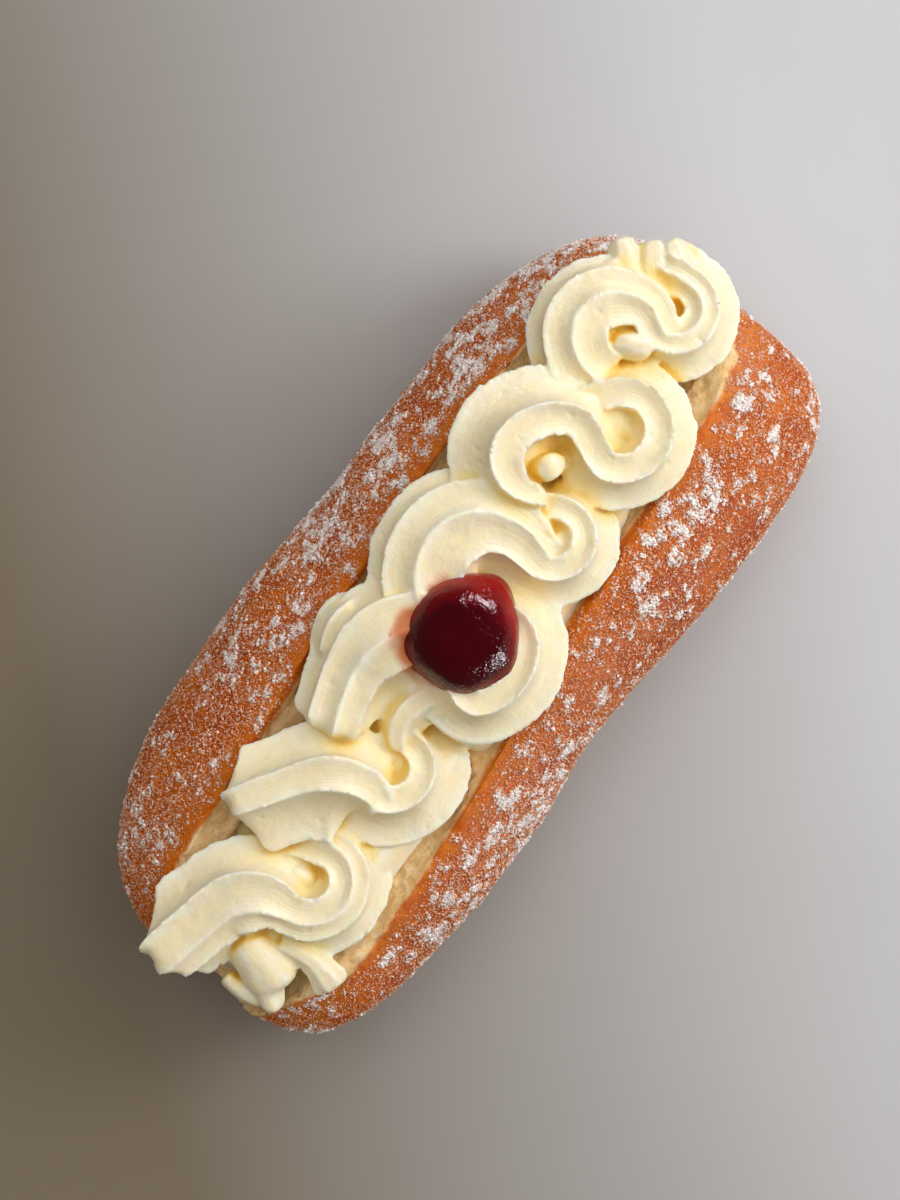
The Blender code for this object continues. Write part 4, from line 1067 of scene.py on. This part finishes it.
def floor_material():
    n = Nodes("pale_table")
    veins = n.noise(5.0, 4.0, 0.6)
    base = n.mix(n.ramp(veins, 0.4, 0.7), TABLE_PALE, TABLE_GREY)
    # Painted shade: the table's colour darkens towards the side away from FLOOR_LIT.
    toward = n.times(n.axis("X"), FLOOR_LIT[0])
    toward = n.math("ADD", toward, n.times(n.axis("Y"), FLOOR_LIT[1]))
    shade = n.ramp(toward, -FLOOR_FADE, FLOOR_FADE, 1.0, 0.0)
    shade = n.mix(n.math("POWER", shade, FLOOR_CURVE), WHITE, TABLE_SHADE)
    base = n.mix(1.0, base, shade, "MULTIPLY")
    return n.set(Base_Color=base, Roughness=0.8, Specular_IOR_Level=0.1)


def wear(target, material):
    """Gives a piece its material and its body."""
    target.data.materials.clear()
    target.data.materials.append(material)
    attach(target, "root")


# ---- camera, light, floor ----
def place_camera():
    """The photo's view, straight down."""
    turn = math.radians(ROLL_TURN)
    right = Vector((math.cos(turn), -math.sin(turn), 0.0))
    up = Vector((math.sin(turn), math.cos(turn), 0.0))
    back = Vector((0.0, 0.0, 1.0))
    data = bpy.data.cameras.new("camera")
    camera = placed("camera", data)
    spot = (Vector((CAMERA_X, CAMERA_Y, CAMERA_HEIGHT)) - Vector(CENTRE)) * MM
    camera.matrix_world = Matrix.Translation(spot) @ Matrix((right, up, back)).transposed().to_4x4()
    data.sensor_width = SENSOR_WIDTH
    data.lens = data.sensor_width * (CAMERA_HEIGHT - WAIST_Z) / (PICTURE_TALL * MM_PER_PIXEL)
    data.clip_start = 0.01
    bpy.context.scene.camera = camera


def place_light(name, turn, rise, away, power, wide, tall, glint):
    """A soft lamp; a row of LAMPS says where it stands and what it does."""
    data = bpy.data.lights.new(name, "AREA")
    data.shape, data.size, data.size_y = "RECTANGLE", wide, tall
    data.energy, data.color = power, LAMP_COLOUR
    lamp = placed(name, data)
    lamp.visible_glossy, lamp.visible_diffuse = glint, not glint
    turn, rise = math.radians(turn), math.radians(rise)
    level = away * math.cos(rise)
    lamp.location = (level * math.cos(turn), level * math.sin(turn), away * math.sin(rise))
    lamp.rotation_euler = (LAMP_AIM - lamp.location).to_track_quat("-Z", "Y").to_euler()


def place_world():
    """Warm light all round, strongest near the horizon."""
    world = bpy.data.worlds.new("room")
    world.use_nodes = True
    tree = world.node_tree
    place = tree.nodes.new("ShaderNodeTexCoord")
    apart = tree.nodes.new("ShaderNodeSeparateXYZ")
    fall = tree.nodes.new("ShaderNodeMapRange")
    tree.links.new(place.outputs["Generated"], apart.inputs[0])
    tree.links.new(apart.outputs["Z"], fall.inputs["Value"])
    fall.inputs["To Min"].default_value = WORLD_LEVEL
    fall.inputs["To Max"].default_value = WORLD_ZENITH
    tree.nodes["Background"].inputs["Color"].default_value = WORLD_COLOUR
    tree.links.new(fall.outputs["Result"], tree.nodes["Background"].inputs["Strength"])
    bpy.context.scene.world = world


def place_stage():
    """The pale table below the bun, its material painted darker on one side as shade."""
    mesh = bpy.data.meshes.new("table")
    corners = ((-1, -1), (1, -1), (1, 1), (-1, 1))
    corners = [(x * TABLE_REACH, y * TABLE_REACH, 0) for x, y in corners]
    mesh.from_pydata(corners, [], [(0, 1, 2, 3)])
    floor = placed("table", mesh)
    mesh.materials.append(floor_material())
    bpy.context.scene.view_settings.view_transform = "Standard"


# ---- build ----
place_camera()
for lamp in LAMPS:
    place_light(*lamp)
place_world()
place_stage()

bun = make_bun()
cream = make_cream()
jam = make_jam()
shade_creases(cream)
stain_cream(cream)
sugar = make_sugar(bun)

wear(bun, crust_material())
wear(cream, cream_material())
wear(jam, jam_material())
sweet = sugar_material()
for piece in sugar:
    wear(piece, sweet)
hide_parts("bun")
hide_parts("cream")
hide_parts("jam")
